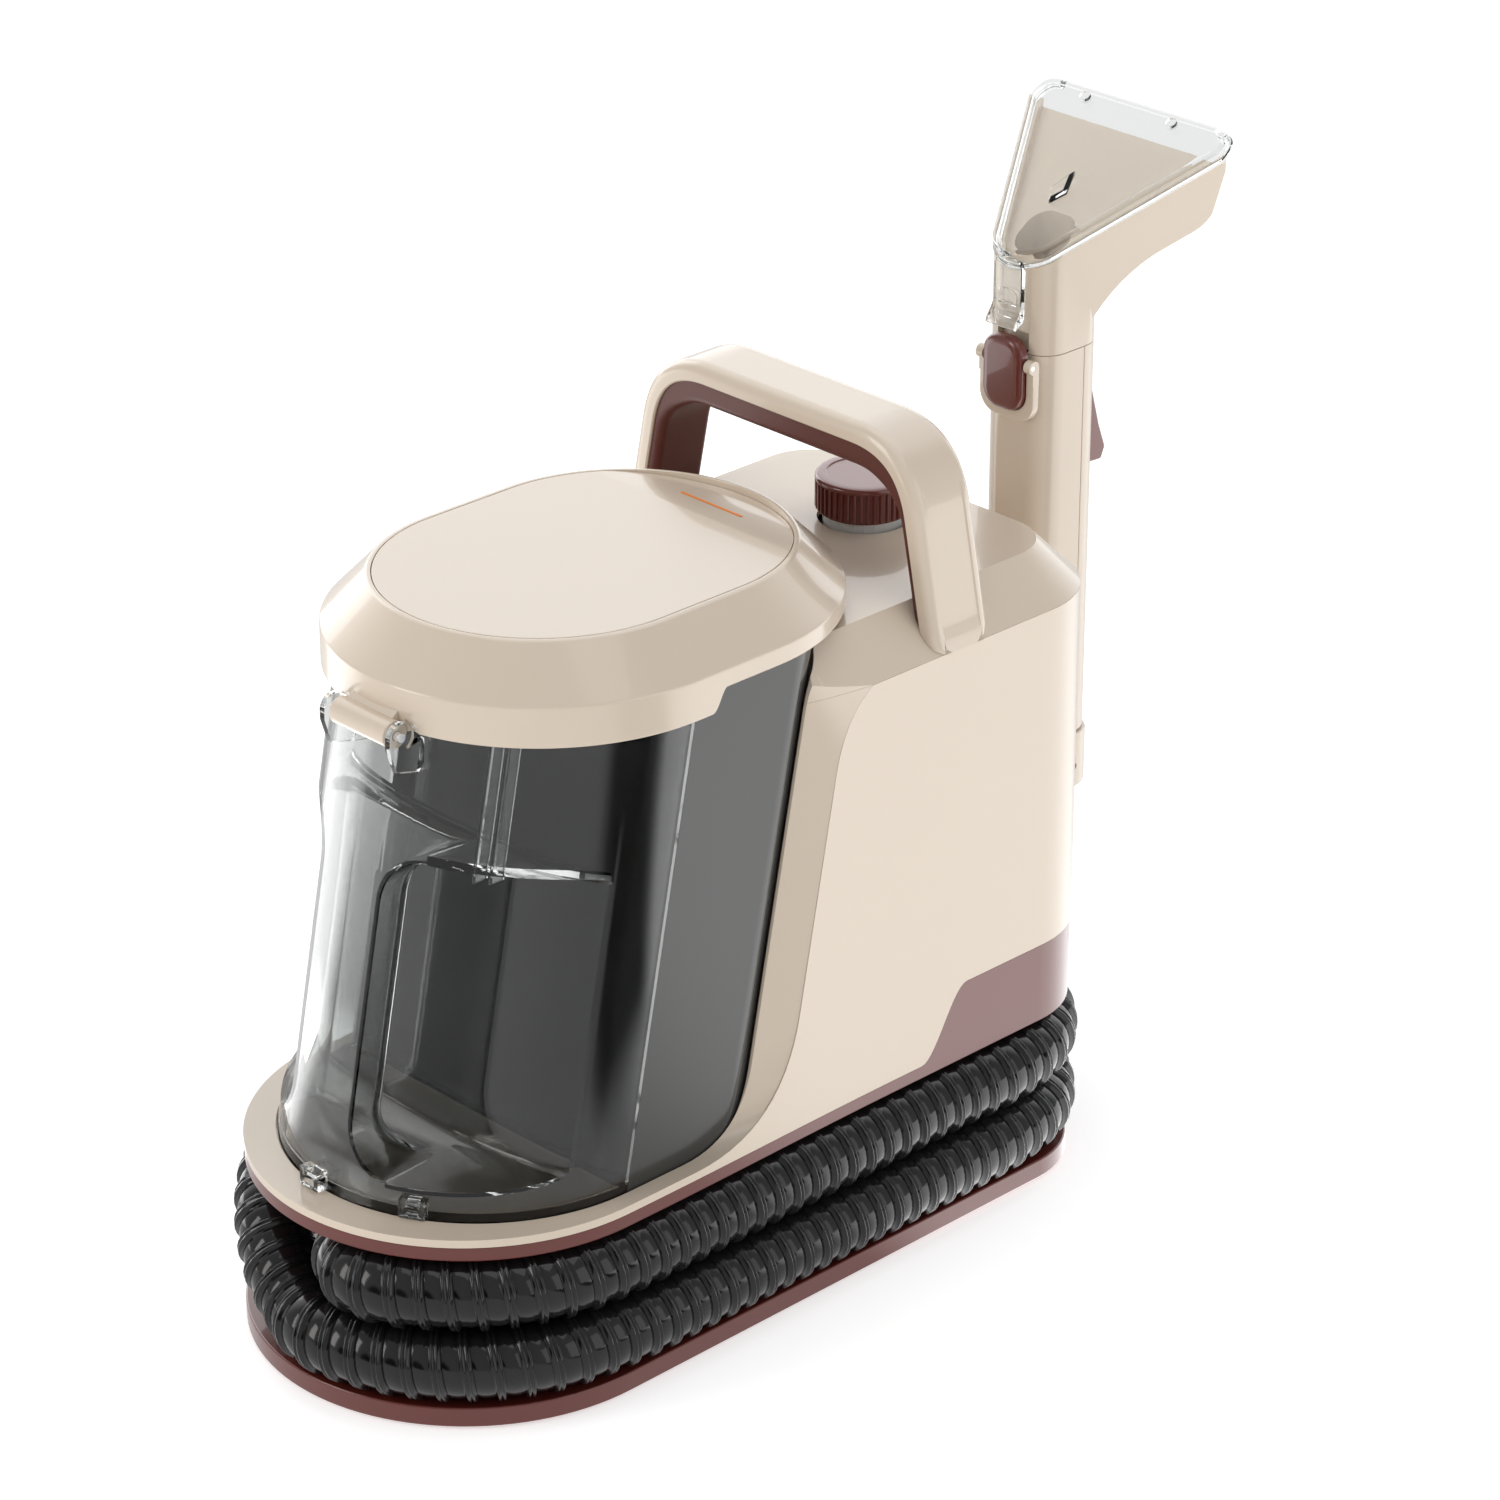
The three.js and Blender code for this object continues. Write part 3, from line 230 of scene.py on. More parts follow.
# Every moulded surface has a very fine grain, a slight unevenness in its gloss, and colour that
# drifts a little from place to place. One group works that out for every plastic and rubber.
moulding = bpy.data.node_groups.new("Moulded Surface", "ShaderNodeTree")
for socket_name, socket_kind, start in (
        ("Color", "NodeSocketColor", (0.8, 0.8, 0.8, 1.0)), ("Color Drift", "NodeSocketFloat", 0.05),
        ("Roughness", "NodeSocketFloat", 0.3), ("Gloss Drift", "NodeSocketFloat", 0.05),
        ("Grain Scale", "NodeSocketFloat", 900.0), ("Grain Depth", "NodeSocketFloat", 0.05)):
    socket = moulding.interface.new_socket(socket_name, in_out="INPUT", socket_type=socket_kind)
    socket.default_value = start
for socket_name, socket_kind in (("Color", "NodeSocketColor"), ("Roughness", "NodeSocketFloat"),
                                 ("Normal", "NodeSocketVector")):
    moulding.interface.new_socket(socket_name, in_out="OUTPUT", socket_type=socket_kind)
given = add_node(moulding, "NodeGroupInput").outputs
where = add_node(moulding, "ShaderNodeTexCoord").outputs["Object"]
drift = add_node(moulding, "ShaderNodeTexNoise", Vector=where, Scale=14.0, Detail=3.0, Roughness=0.5)
grain = add_node(moulding, "ShaderNodeTexNoise", Vector=where, Scale=given["Grain Scale"], Detail=2.0)
centred = add_node(moulding, "ShaderNodeMath", {"operation": "SUBTRACT"}, in0=drift.outputs["Fac"], in1=0.5)
tone = add_node(moulding, "ShaderNodeMath", {"operation": "MULTIPLY_ADD"}, in0=centred.outputs[0],
                in1=given["Color Drift"], in2=1.0)
toned = add_node(moulding, "ShaderNodeVectorMath", {"operation": "SCALE"}, Vector=given["Color"],
                 Scale=tone.outputs[0])
gloss = add_node(moulding, "ShaderNodeMath", {"operation": "MULTIPLY_ADD", "use_clamp": True},
                 in0=centred.outputs[0], in1=given["Gloss Drift"], in2=given["Roughness"])
bump = add_node(moulding, "ShaderNodeBump", Strength=given["Grain Depth"], Distance=0.0002,
                Height=grain.outputs["Fac"])
add_node(moulding, "NodeGroupOutput", Color=toned.outputs["Vector"], Roughness=gloss.outputs[0],
         Normal=bump.outputs["Normal"])


def moulded(name, colour, roughness, grain_depth=0.05, grain_scale=900.0, colour_drift=0.04,
            gloss_drift=0.06, coat=0.0, metallic=0.0, clear=0.0, index=1.46):
    """A moulded finish: its drifting colour, gloss and grain come from the Moulded Surface group."""
    material = bpy.data.materials.new(name)
    material.use_nodes = True
    tree = material.node_tree
    shader = tree.nodes["Principled BSDF"]
    surface = add_node(tree, "ShaderNodeGroup", {"node_tree": moulding}, Color=(*colour, 1.0),
                       Color_Drift=colour_drift, Roughness=roughness, Gloss_Drift=gloss_drift,
                       Grain_Scale=grain_scale, Grain_Depth=grain_depth)
    tree.links.new(surface.outputs["Color"], shader.inputs["Base Color"])
    tree.links.new(surface.outputs["Roughness"], shader.inputs["Roughness"])
    tree.links.new(surface.outputs["Normal"], shader.inputs["Normal"])
    shader.inputs["IOR"].default_value = index
    shader.inputs["Metallic"].default_value = metallic
    shader.inputs["Coat Weight"].default_value = coat
    shader.inputs["Coat Roughness"].default_value = 0.04
    shader.inputs["Transmission Weight"].default_value = clear
    return material


HOSE_BEND, HOSE_CORNER = 90.0, 60.0
HOSE_FRONT, HOSE_REAR = -190.0, 200.0
HOSE_HIGH, HOSE_LOW = 62.7, 28.3
WAND_Y = 252.0
turn_centre = HOSE_FRONT + HOSE_BEND
route = [(6, -160.3, HOSE_HIGH), (6, -168, HOSE_HIGH), (17, -182, HOSE_HIGH), (34, -183, HOSE_HIGH)]


def front_turn(degrees, radius, z):
    angle = math.radians(degrees)
    route.append((radius * math.cos(angle), turn_centre + radius * math.sin(angle), z))


def rear_turn(side, degrees, z):
    angle = math.radians(degrees)
    route.append((side * (HOSE_BEND - HOSE_CORNER) + HOSE_CORNER * math.cos(angle),
                  HOSE_REAR - HOSE_CORNER + HOSE_CORNER * math.sin(angle), z))


for degrees in (-52, -34, -16, 0):
    front_turn(degrees, HOSE_BEND - 1, HOSE_HIGH)
route += [(HOSE_BEND - 0.5, y, HOSE_HIGH) for y in (-50, 0, 50, 100)]
for degrees in (0, 30, 60, 90):
    rear_turn(1, degrees, HOSE_HIGH)
route.append((0, HOSE_REAR, HOSE_HIGH))
for degrees in (90, 120, 150, 180):
    rear_turn(-1, degrees, HOSE_HIGH)
route += [(-HOSE_BEND, y, HOSE_HIGH) for y in (90, 40, -10, -60)]
for degrees, share in ((180, 0), (197, 0), (214, 0.04), (231, 0.3), (246, 0.68), (259, 0.94), (272, 1),
                       (288, 1), (306, 1), (324, 1), (342, 1), (360, 1)):
    pulled_in = 4 if 190 < degrees < 265 else 0
    front_turn(degrees, HOSE_BEND - pulled_in, HOSE_HIGH + (HOSE_LOW - HOSE_HIGH) * share)
route += [(HOSE_BEND + 1, y, HOSE_LOW) for y in (-50, 0, 50, 100)]
for degrees in (0, 30, 60):
    rear_turn(1, degrees, HOSE_LOW)
route += [(30, HOSE_REAR + 2, HOSE_LOW), (13, HOSE_REAR + 11, 30), (2, HOSE_REAR + 30, 40),
          (-2, HOSE_REAR + 45, 62), (0, HOSE_REAR + 52, 88), (0, WAND_Y, 104), (0, WAND_Y, 117.7)]


def smooth_through(points, per_span):
    """Points along a centripetal Catmull-Rom curve through the given ones."""
    points = [Vector(p) for p in points]
    ends = [2 * points[0] - points[1]] + points + [2 * points[-1] - points[-2]]
    result = []
    for i in range(1, len(ends) - 2):
        p0, p1, p2, p3 = ends[i - 1:i + 3]
        t1 = max((p1 - p0).length, 1e-4) ** 0.5
        t2 = t1 + max((p2 - p1).length, 1e-4) ** 0.5
        t3 = t2 + max((p3 - p2).length, 1e-4) ** 0.5
        for k in range(per_span):
            t = t1 + (t2 - t1) * k / per_span
            a1 = p0 * (t1 - t) / t1 + p1 * t / t1
            a2 = p1 * (t2 - t) / (t2 - t1) + p2 * (t - t1) / (t2 - t1)
            a3 = p2 * (t3 - t) / (t3 - t2) + p3 * (t - t2) / (t3 - t2)
            b1 = a1 * (t2 - t) / t2 + a2 * t / t2
            b2 = a2 * (t3 - t) / (t3 - t1) + a3 * (t - t1) / (t3 - t1)
            result.append(b1 * (t2 - t) / (t2 - t1) + b2 * (t - t1) / (t2 - t1))
    result.append(points[-1])
    return result


hose_line = [in_frame(p) for p in smooth_through(route, 16)]
line_data = bpy.data.curves.new("hose_line", "CURVE")
line_data.dimensions = "3D"
line_spline = line_data.splines.new("POLY")
line_spline.points.add(len(hose_line) - 1)
for point, place in zip(line_spline.points, hose_line):
    point.co = (*place, 1.0)
hose_curve = bpy.data.objects.new("hose_line", line_data)
bpy.context.scene.collection.objects.link(hose_curve)

# The tree wraps a grid round the line. Each row is sheared by one rib pitch per turn, so the mesh runs
# along the spiral. One float curve spaces the rows of a pitch, and another gives the wall and twin ribs.
hose_tree = bpy.data.node_groups.new("Ribbed Hose", "GeometryNodeTree")
for socket_name, socket_kind in (("Line", "NodeSocketGeometry"), ("Wall Radius", "NodeSocketFloat"),
                                 ("Rib Height", "NodeSocketFloat"), ("Rib Pitch", "NodeSocketFloat"),
                                 ("Rows per Pitch", "NodeSocketInt"), ("Sides", "NodeSocketInt"),
                                 ("Material", "NodeSocketMaterial")):
    hose_tree.interface.new_socket(socket_name, in_out="INPUT", socket_type=socket_kind)
hose_tree.interface.new_socket("Hose", in_out="OUTPUT", socket_type="NodeSocketGeometry")


def maths(tree, operation, first, second=0.0, third=0.0):
    return add_node(tree, "ShaderNodeMath", {"operation": operation}, in0=first, in1=second,
                    in2=third).outputs[0]


hose_in = add_node(hose_tree, "NodeGroupInput").outputs
line_length = add_node(hose_tree, "GeometryNodeCurveLength", Curve=hose_in["Line"]).outputs[0]
row_gap = maths(hose_tree, "DIVIDE", hose_in["Rib Pitch"], hose_in["Rows per Pitch"])
rows = maths(hose_tree, "ADD", maths(hose_tree, "CEIL", maths(hose_tree, "DIVIDE", line_length, row_gap)),
             hose_in["Rows per Pitch"])
columns = maths(hose_tree, "ADD", hose_in["Sides"], 1.0)
wrap = add_node(hose_tree, "GeometryNodeMeshGrid", Size_X=1.0, Size_Y=1.0,
                Vertices_X=maths(hose_tree, "ADD", rows, 1.0), Vertices_Y=columns)
corner = add_node(hose_tree, "ShaderNodeSeparateXYZ",
                  Vector=add_node(hose_tree, "GeometryNodeInputPosition").outputs[0])
row_share = maths(hose_tree, "ADD", corner.outputs[0], 0.5)
row = maths(hose_tree, "ROUND", maths(hose_tree, "MULTIPLY", row_share, rows))
round_share = maths(hose_tree, "ADD", corner.outputs[1], 0.5)
angle = maths(hose_tree, "MULTIPLY", round_share, 2 * math.pi)
sheared = maths(hose_tree, "MULTIPLY", maths(hose_tree, "SUBTRACT", round_share, 1.0), hose_in["Rib Pitch"])
# Share of the pitch and share of the rib height: a barrel, then two thin ribs with a groove between.
RIB_SECTION = ((0.0, 0.24), (0.14, 0.33), (0.28, 0.36), (0.42, 0.33), (0.56, 0.24), (0.62, 0.10),
               (0.66, 0.92), (0.69, 1.0), (0.745, 1.0), (0.79, 0.34), (0.835, 1.0), (0.89, 1.0),
               (0.92, 0.92), (0.96, 0.10))


def section_curve(value, start, corners, end):
    """A float curve with straight lines between its corners."""
    curve = add_node(hose_tree, "ShaderNodeFloatCurve", Value=value)
    points = curve.mapping.curves[0].points
    points[0].location = start
    points[1].location = end
    for corner_place in corners:
        points.new(*corner_place)
    for point in points:
        point.handle_type = "VECTOR"
    curve.mapping.update()
    return curve.outputs[0]


turns_run = maths(hose_tree, "DIVIDE", maths(hose_tree, "ADD", row, 0.01), hose_in["Rows per Pitch"])
row_corners = [(k / len(RIB_SECTION), RIB_SECTION[k][0]) for k in range(1, len(RIB_SECTION))]
phase = section_curve(maths(hose_tree, "FRACT", turns_run), (0.0, 0.0), row_corners, (1.0, 1.0))
rib_rise = section_curve(phase, RIB_SECTION[0], RIB_SECTION[1:], (1.0, RIB_SECTION[0][1]))
along = maths(hose_tree, "MULTIPLY_ADD", maths(hose_tree, "ADD", maths(hose_tree, "FLOOR", turns_run), phase),
              hose_in["Rib Pitch"], sheared)
along = maths(hose_tree, "MINIMUM", maths(hose_tree, "MAXIMUM", along, 0.0), line_length)
from_end = maths(hose_tree, "MINIMUM", along, maths(hose_tree, "SUBTRACT", line_length, along))
FADE_LENGTH = 0.004
fade = maths(hose_tree, "MINIMUM", maths(hose_tree, "DIVIDE", from_end, FADE_LENGTH), 1.0)
radius = maths(hose_tree, "MULTIPLY_ADD", maths(hose_tree, "MULTIPLY", rib_rise, fade),
               hose_in["Rib Height"], hose_in["Wall Radius"])
spot = add_node(hose_tree, "GeometryNodeSampleCurve", {"mode": "LENGTH", "use_all_curves": True},
                Curves=hose_in["Line"], Length=along)
side_way = add_node(hose_tree, "ShaderNodeVectorMath", {"operation": "CROSS_PRODUCT"},
                    in0=spot.outputs["Tangent"], in1=spot.outputs["Normal"]).outputs[0]
outward = add_node(hose_tree, "ShaderNodeVectorMath", {"operation": "ADD"},
                   in0=add_node(hose_tree, "ShaderNodeVectorMath", {"operation": "SCALE"},
                                Vector=spot.outputs["Normal"],
                                Scale=maths(hose_tree, "COSINE", angle)).outputs[0],
                   in1=add_node(hose_tree, "ShaderNodeVectorMath", {"operation": "SCALE"},
                                Vector=side_way, Scale=maths(hose_tree, "SINE", angle)).outputs[0])
reach = add_node(hose_tree, "ShaderNodeVectorMath", {"operation": "SCALE"}, Vector=outward.outputs[0],
                 Scale=radius)
wall_place = add_node(hose_tree, "ShaderNodeVectorMath", {"operation": "ADD"},
                      in0=spot.outputs["Position"], in1=reach.outputs[0])
wrapped = add_node(hose_tree, "GeometryNodeSetPosition", Geometry=wrap.outputs["Mesh"],
                   Position=wall_place.outputs[0])
joined = add_node(hose_tree, "GeometryNodeMergeByDistance", Geometry=wrapped.outputs[0], Distance=2e-5)
real = add_node(hose_tree, "GeometryNodeRealizeInstances", Geometry=joined.outputs[0])
coated = add_node(hose_tree, "GeometryNodeSetMaterial", Geometry=real.outputs[0],
                  Material=hose_in["Material"])
add_node(hose_tree, "NodeGroupOutput", Hose=coated.outputs[0])

hose_black = moulded("hose_black", (0.011, 0.011, 0.012), 0.13, grain_depth=0.01, colour_drift=0.2,
                     gloss_drift=0.12, coat=0.2, index=1.4)


def grow(name, source, tree, **inputs):
    """A plain mesh piece grown from a source by a Geometry Nodes tree with these named inputs."""
    step = source.modifiers.new("grow", "NODES")
    step.node_group = tree
    for item in tree.interface.items_tree:
        if item.item_type == "SOCKET" and item.in_out == "INPUT":
            key = item.name.replace(" ", "_")
            if key in inputs:
                step[item.identifier] = inputs[key]
    bpy.context.view_layer.update()
    graph = bpy.context.evaluated_depsgraph_get()
    mesh = bpy.data.meshes.new_from_object(source.evaluated_get(graph), depsgraph=graph)
    bpy.data.objects.remove(source, do_unlink=True)
    tidy_normals(mesh)
    mesh.name = name
    piece = bpy.data.objects.new(name, mesh)
    bpy.context.scene.collection.objects.link(piece)
    return piece


def soften(piece, degrees=35.0):
    """Smooth shading that keeps edges sharper than an angle."""
    piece.data.shade_smooth()
    piece.data.set_sharp_from_angle(angle=math.radians(degrees))
    step = piece.modifiers.new("even_normals", "WEIGHTED_NORMAL")
    step.keep_sharp = True
    return settle(piece)


hose = grow("hose_with_ribs", hose_curve, hose_tree, Wall_Radius=0.0150, Rib_Height=0.0026,
            Rib_Pitch=0.0112, Rows_per_Pitch=len(RIB_SECTION), Sides=32, Material=hose_black)
hose.data.shade_smooth()
put_in_place(hose, "root", hose_black, "hose_black", "suction_hose")


def arc(x, y, radius, start, end, steps):
    """Points on an arc in the plane, angles in degrees."""
    angles = [math.radians(start + (end - start) * k / steps) for k in range(steps + 1)]
    return [(x + radius * math.cos(a), y + radius * math.sin(a)) for a in angles]


def circle(x, y, radius, sides):
    """Points all round a circle."""
    angles = [2 * math.pi * k / sides for k in range(sides)]
    return [(x + radius * math.cos(a), y + radius * math.sin(a)) for a in angles]


def at_height(outline, z):
    """A flat ring of points at one level."""
    return [(x, y, z) for x, y in outline]


def loft(name, rings, ring_shaped=False):
    """A closed piece over rings of equal point counts, capped at both ends or joined back on itself."""
    count = len(rings[0])
    points = [p for ring in rings for p in ring]
    last = len(rings) if ring_shaped else len(rings) - 1
    faces = []
    for i in range(last):
        low, high = i * count, ((i + 1) % len(rings)) * count
        faces += [(low + k, low + (k + 1) % count, high + (k + 1) % count, high + k) for k in range(count)]
    if not ring_shaped:
        faces.append(tuple(reversed(range(count))))
        faces.append(tuple(range(last * count, (last + 1) * count)))
    return new_piece(name, points, faces)


def turned(name, profile, x, y, sides=64, ring_shaped=False):
    """A piece turned on a vertical axis from a profile of radius and height pairs."""
    return loft(name, [at_height(circle(x, y, r, sides), z) for r, z in profile], ring_shaped)


# The cuff is a moulded sleeve that screws on to the end of the hose and plugs into the wand's cap.
cuff_black = moulded("cuff_black", (0.014, 0.014, 0.015), 0.32, grain_depth=0.1)
cuff_profile = [(11, 118), (17.2, 118), (18, 118.8), (18, 121), (17.4, 121.6), (17.4, 124.5), (18, 125.1),
                (18, 127.4), (17.4, 128), (17.4, 131), (18, 131.6), (18, 135.9), (17.3, 136.6), (14, 136.6),
                (14, 144), (11, 144)]
cuff = turned("hose_cuff_sleeve", cuff_profile, 0, WAND_Y, 64, True)
soften(cuff)
put_in_place(cuff, "wand", cuff_black, "black_plastic", "hose_cuff")

# ---------------------------------------------------------------- base plate and feet
# The machine stands on a thick moulded plate with a round front, square-cornered behind, whose rim
# is eased all round. Four rubber discs are pressed into pockets under it.
PLATE_HALF, PLATE_FRONT, PLATE_REAR, PLATE_CORNER = 100.0, -200.0, 199.0, 44.0
PLATE_LOW, PLATE_TOP = 1.5, 11.0


def rounded_rise(low, high, low_radius, high_radius, steps=4):
    """Inset and height pairs up a wall whose lower and upper edges are rounded."""
    quarter = [math.pi / 2 * k / steps for k in range(steps + 1)]
    foot = [(low_radius * (1 - math.sin(a)), low + low_radius * (1 - math.cos(a))) for a in quarter]
    head = [(high_radius * (1 - math.cos(a)), high - high_radius * (1 - math.sin(a))) for a in quarter]
    return foot + head


def rear_corners(half, rear, radius, steps):
    """The two rounded corners at the back of an outline, the right one first."""
    return (arc(half - radius, rear - radius, radius, 0, 90, steps)
            + arc(radius - half, rear - radius, radius, 90, 180, steps))


def stadium(half, front, rear, rear_corner, steps=28):
    """An outline with a half-round front and rounded rear corners, anticlockwise from the right side."""
    return rear_corners(half, rear, rear_corner, steps // 2) + arc(0, front + half, half, 180, 360, 2 * steps)


maroon = moulded("maroon_plastic", (0.14, 0.024, 0.016), 0.3, grain_depth=0.05, colour_drift=0.06, coat=0.6)
plate_rings = [at_height(stadium(PLATE_HALF - inset, PLATE_FRONT + inset, PLATE_REAR - inset,
                                 PLATE_CORNER - inset), z)
               for inset, z in rounded_rise(PLATE_LOW, PLATE_TOP, 1.0, 0.9)]
base_plate = soften(loft("base_plate_moulding", plate_rings))
put_in_place(base_plate, "root", maroon, "maroon_plastic", "base_plate")

# Geometry Nodes put one shape on each point of a set, turned as the point's own attribute says.
repeat_tree = bpy.data.node_groups.new("Repeated Part", "GeometryNodeTree")
for socket_name, socket_kind in (("Places", "NodeSocketGeometry"), ("Shape", "NodeSocketObject"),
                                 ("Size", "NodeSocketFloat"), ("Material", "NodeSocketMaterial")):
    repeat_tree.interface.new_socket(socket_name, in_out="INPUT", socket_type=socket_kind)
repeat_tree.interface.new_socket("Parts", in_out="OUTPUT", socket_type="NodeSocketGeometry")
repeat_in = add_node(repeat_tree, "NodeGroupInput").outputs
shape_info = add_node(repeat_tree, "GeometryNodeObjectInfo", Object=repeat_in["Shape"])
turn_read = add_node(repeat_tree, "GeometryNodeInputNamedAttribute", {"data_type": "FLOAT_VECTOR"},
                     Name="turn")
copies = add_node(repeat_tree, "GeometryNodeInstanceOnPoints", Points=repeat_in["Places"],
                  Instance=shape_info.outputs["Geometry"], Rotation=turn_read.outputs[0],
                  Scale=repeat_in["Size"])
real_parts = add_node(repeat_tree, "GeometryNodeRealizeInstances", Geometry=copies.outputs[0])
parts_out = add_node(repeat_tree, "GeometryNodeSetMaterial", Geometry=real_parts.outputs[0],
                     Material=repeat_in["Material"])
add_node(repeat_tree, "NodeGroupOutput", Parts=parts_out.outputs[0])


def repeated(name, shape, places, material, turns=None):
    """One plain mesh with the shape, modelled round the drawings' zero point, at every place."""
    shape.data.transform(Matrix.Translation((0, ORIGIN_Y / 1000.0, 0)))
    mesh = bpy.data.meshes.new(name)
    mesh.from_pydata([in_frame(p) for p in places], [], [])
    turn = mesh.attributes.new("turn", "FLOAT_VECTOR", "POINT")
    for i, angles in enumerate(turns or [(0, 0, 0)] * len(places)):
        turn.data[i].vector = angles
    points = bpy.data.objects.new(name, mesh)
    bpy.context.scene.collection.objects.link(points)
    piece = grow(name, points, repeat_tree, Shape=shape, Size=1.0, Material=material)
    bpy.data.objects.remove(shape, do_unlink=True)
    return piece


rubber = moulded("foot_rubber", (0.022, 0.022, 0.023), 0.75, grain_depth=0.3, grain_scale=500.0)
foot_shape = turned("foot", [(8.6, 0), (9.6, 0.4), (10, 1.2), (10, 3.3)], 0, 0, 40)
foot_spots = [(x, y, 0) for y in (-122, 150) for x in (-62, 62)]
feet = repeated("rubber_feet", foot_shape, foot_spots, rubber)
soften(feet)
put_in_place(feet, "root", rubber, "black_rubber", "foot_front_left", "foot_front_right", "foot_rear_left",
             "foot_rear_right")

# ---------------------------------------------------------------- waist
# Between the plate and the body is a narrow black core, a hollow moulding that the hose is wound
# round. It carries the weight of the body on the base plate.
CORE_HALF, CORE_FRONT, CORE_REAR, CORE_CORNER, CORE_WALL = 71.0, -150.0, 181.0, 42.0, 3.0
CORE_LOW, CORE_TOP = 11.3, 81.0


def core_ring(inset, z):
    """A level of the waist, drawn in from its outer face by the inset."""
    return at_height(stadium(CORE_HALF - inset, CORE_FRONT + inset, CORE_REAR - inset,
                             CORE_CORNER - inset), z)


core_black = moulded("core_black", (0.012, 0.012, 0.012), 0.45, grain_depth=0.2)
waist = loft("waist_moulding", [core_ring(0, CORE_LOW), core_ring(0, CORE_TOP),
                                core_ring(CORE_WALL, CORE_TOP), core_ring(CORE_WALL, CORE_LOW)], True)
put_in_place(soften(waist), "root", core_black, "black_plastic", "waist_core")

# ---------------------------------------------------------------- skirt
# A maroon band closes the underside of the body. Along the sides it is a thin line, and near the
# back it rises in an S-shaped step to a tall band round the rear.
SIDE_HALF, DECK_HALF = 97.0, 98.8
SHELL_FRONT, SHELL_REAR, SHELL_CORNER = -197.6, 202.0, 45.0
FLARE_FROM, FLARE_TO = -90.0, 60.0
STEP_FROM, STEP_TO = 79.0, 107.0
SKIRT_FOOT, SKIRT_LOW, SKIRT_HIGH = 81.3, 88.3, 120.7


def ease(value):
    """A smooth step from 0 to 1."""
    value = min(max(value, 0.0), 1.0)
    return value * value * (3 - 2 * value)


def shell_outline(inset, spacing=2.0):
    """The plan of the body: half-round in front, flared a little at the deck, with rounded rear corners."""
    radius = SHELL_CORNER - inset
    half, rear = SIDE_HALF - inset, SHELL_REAR - inset
    flared = DECK_HALF - inset
    front_centre = SHELL_FRONT + DECK_HALF
    steps = int((rear - radius - front_centre) / spacing)
    rise = [front_centre + (rear - radius - front_centre) * k / steps for k in range(1, steps)]
    side = [(half + (flared - half) * (1 - ease((y - FLARE_FROM) / (FLARE_TO - FLARE_FROM))), y)
            for y in rise]
    return (rear_corners(half, rear, radius, 16) + [(-x, y) for x, y in reversed(side)]
            + arc(0, front_centre, flared, 180, 360, 72) + side)


def skirt_line(y):
    """The level of the skirt's upper edge along the body."""
    return SKIRT_LOW + (SKIRT_HIGH - SKIRT_LOW) * ease((y - STEP_FROM) / (STEP_TO - STEP_FROM))


band = shell_outline(0.35)
band_eased = shell_outline(1.1)
inner_band = shell_outline(4.0)
hole_band = shell_outline(34.0)
skirt_rings = [at_height(band_eased, SKIRT_FOOT), at_height(band, SKIRT_FOOT + 0.8),
               [(x, y, skirt_line(y) - 0.45) for x, y in band],
               [(x, y, skirt_line(y) - 0.1) for x, y in band_eased],
               [(x, y, skirt_line(y) - 0.1) for x, y in inner_band], at_height(inner_band, SKIRT_FOOT + 3),
               at_height(hole_band, SKIRT_FOOT + 3), at_height(hole_band, SKIRT_FOOT)]
skirt = soften(loft("skirt_moulding", skirt_rings, True))
put_in_place(skirt, "root", maroon, "maroon_plastic", "lower_skirt")

# ---------------------------------------------------------------- body shell
# The cream body is one glossy moulding: a flat deck ring round the tank, a slanted cheek that sweeps
# up each side of the tank bay, flat side panels, and a chamfered top that is a cover of its own.
RAKE, RAKE_LEVEL = 0.2, 300.0
DECK_TOP, PANEL_TOP, BODY_TOP = 92.0, 285.0, 305.0
CHAMFER, WALL, SEAM_GAP = 20.0, 3.0, 0.06
CAP_Y = 138.0
POWER_X, POWER_Z, INLET_X, INLET_Z, GRILLE_X, GRILLE_Z = -38.0, 250.0, -38.0, 149.0, 39.0, 180.0
DOCK_SCREWS = (186.0, 222.0)
BAY_HALF, BAY_LINE, PANEL_LINE, BAY_WALL = 90.3, 16.0, 34.0, 30.0
TANK_CENTRE, TANK_CORNER = -50.0, 22.0


def raked(outline, z):
    """A level of the tank or its bay, which lean back as they rise."""
    return [(x, y + RAKE * (z - RAKE_LEVEL), z) for x, y in outline]


def bent(start, middle, end, steps):
    """Points on a quadratic curve from start to end."""
    result = []
    for k in range(steps + 1):
        t = k / steps
        result.append(tuple((1 - t) ** 2 * a + 2 * t * (1 - t) * b + t * t * c
                            for a, b, c in zip(start, middle, end)))
    return result


def side_profile(line, fillet, top, round_over):
    """The body seen from the side: deck, a hollow sweep, the slanted front of the cheek, and the top."""
    foot = line + RAKE * (DECK_TOP - RAKE_LEVEL)
    head = line + RAKE * (top - RAKE_LEVEL)
    sweep = bent((foot - fillet, DECK_TOP), (foot, DECK_TOP), (foot + fillet * RAKE, DECK_TOP + fillet), 14)
    crown = bent((head - round_over * RAKE, top - round_over), (head, top), (head + round_over, top), 14)
    return [(-260.0, 60.0), (-260.0, DECK_TOP)] + sweep + crown + [(260.0, top), (260.0, 60.0)]


def carve(piece, tools, operation="DIFFERENCE"):
    """Cuts the tools out of a piece, or joins or crosses them with it, and takes the tools away."""
    for tool in tools:
        step = piece.modifiers.new("carve", "BOOLEAN")
        step.operation = operation
        step.solver = "MANIFOLD"
        step.object = tool
    settle(piece)
    for tool in tools:
        bpy.data.objects.remove(tool, do_unlink=True)
    return piece


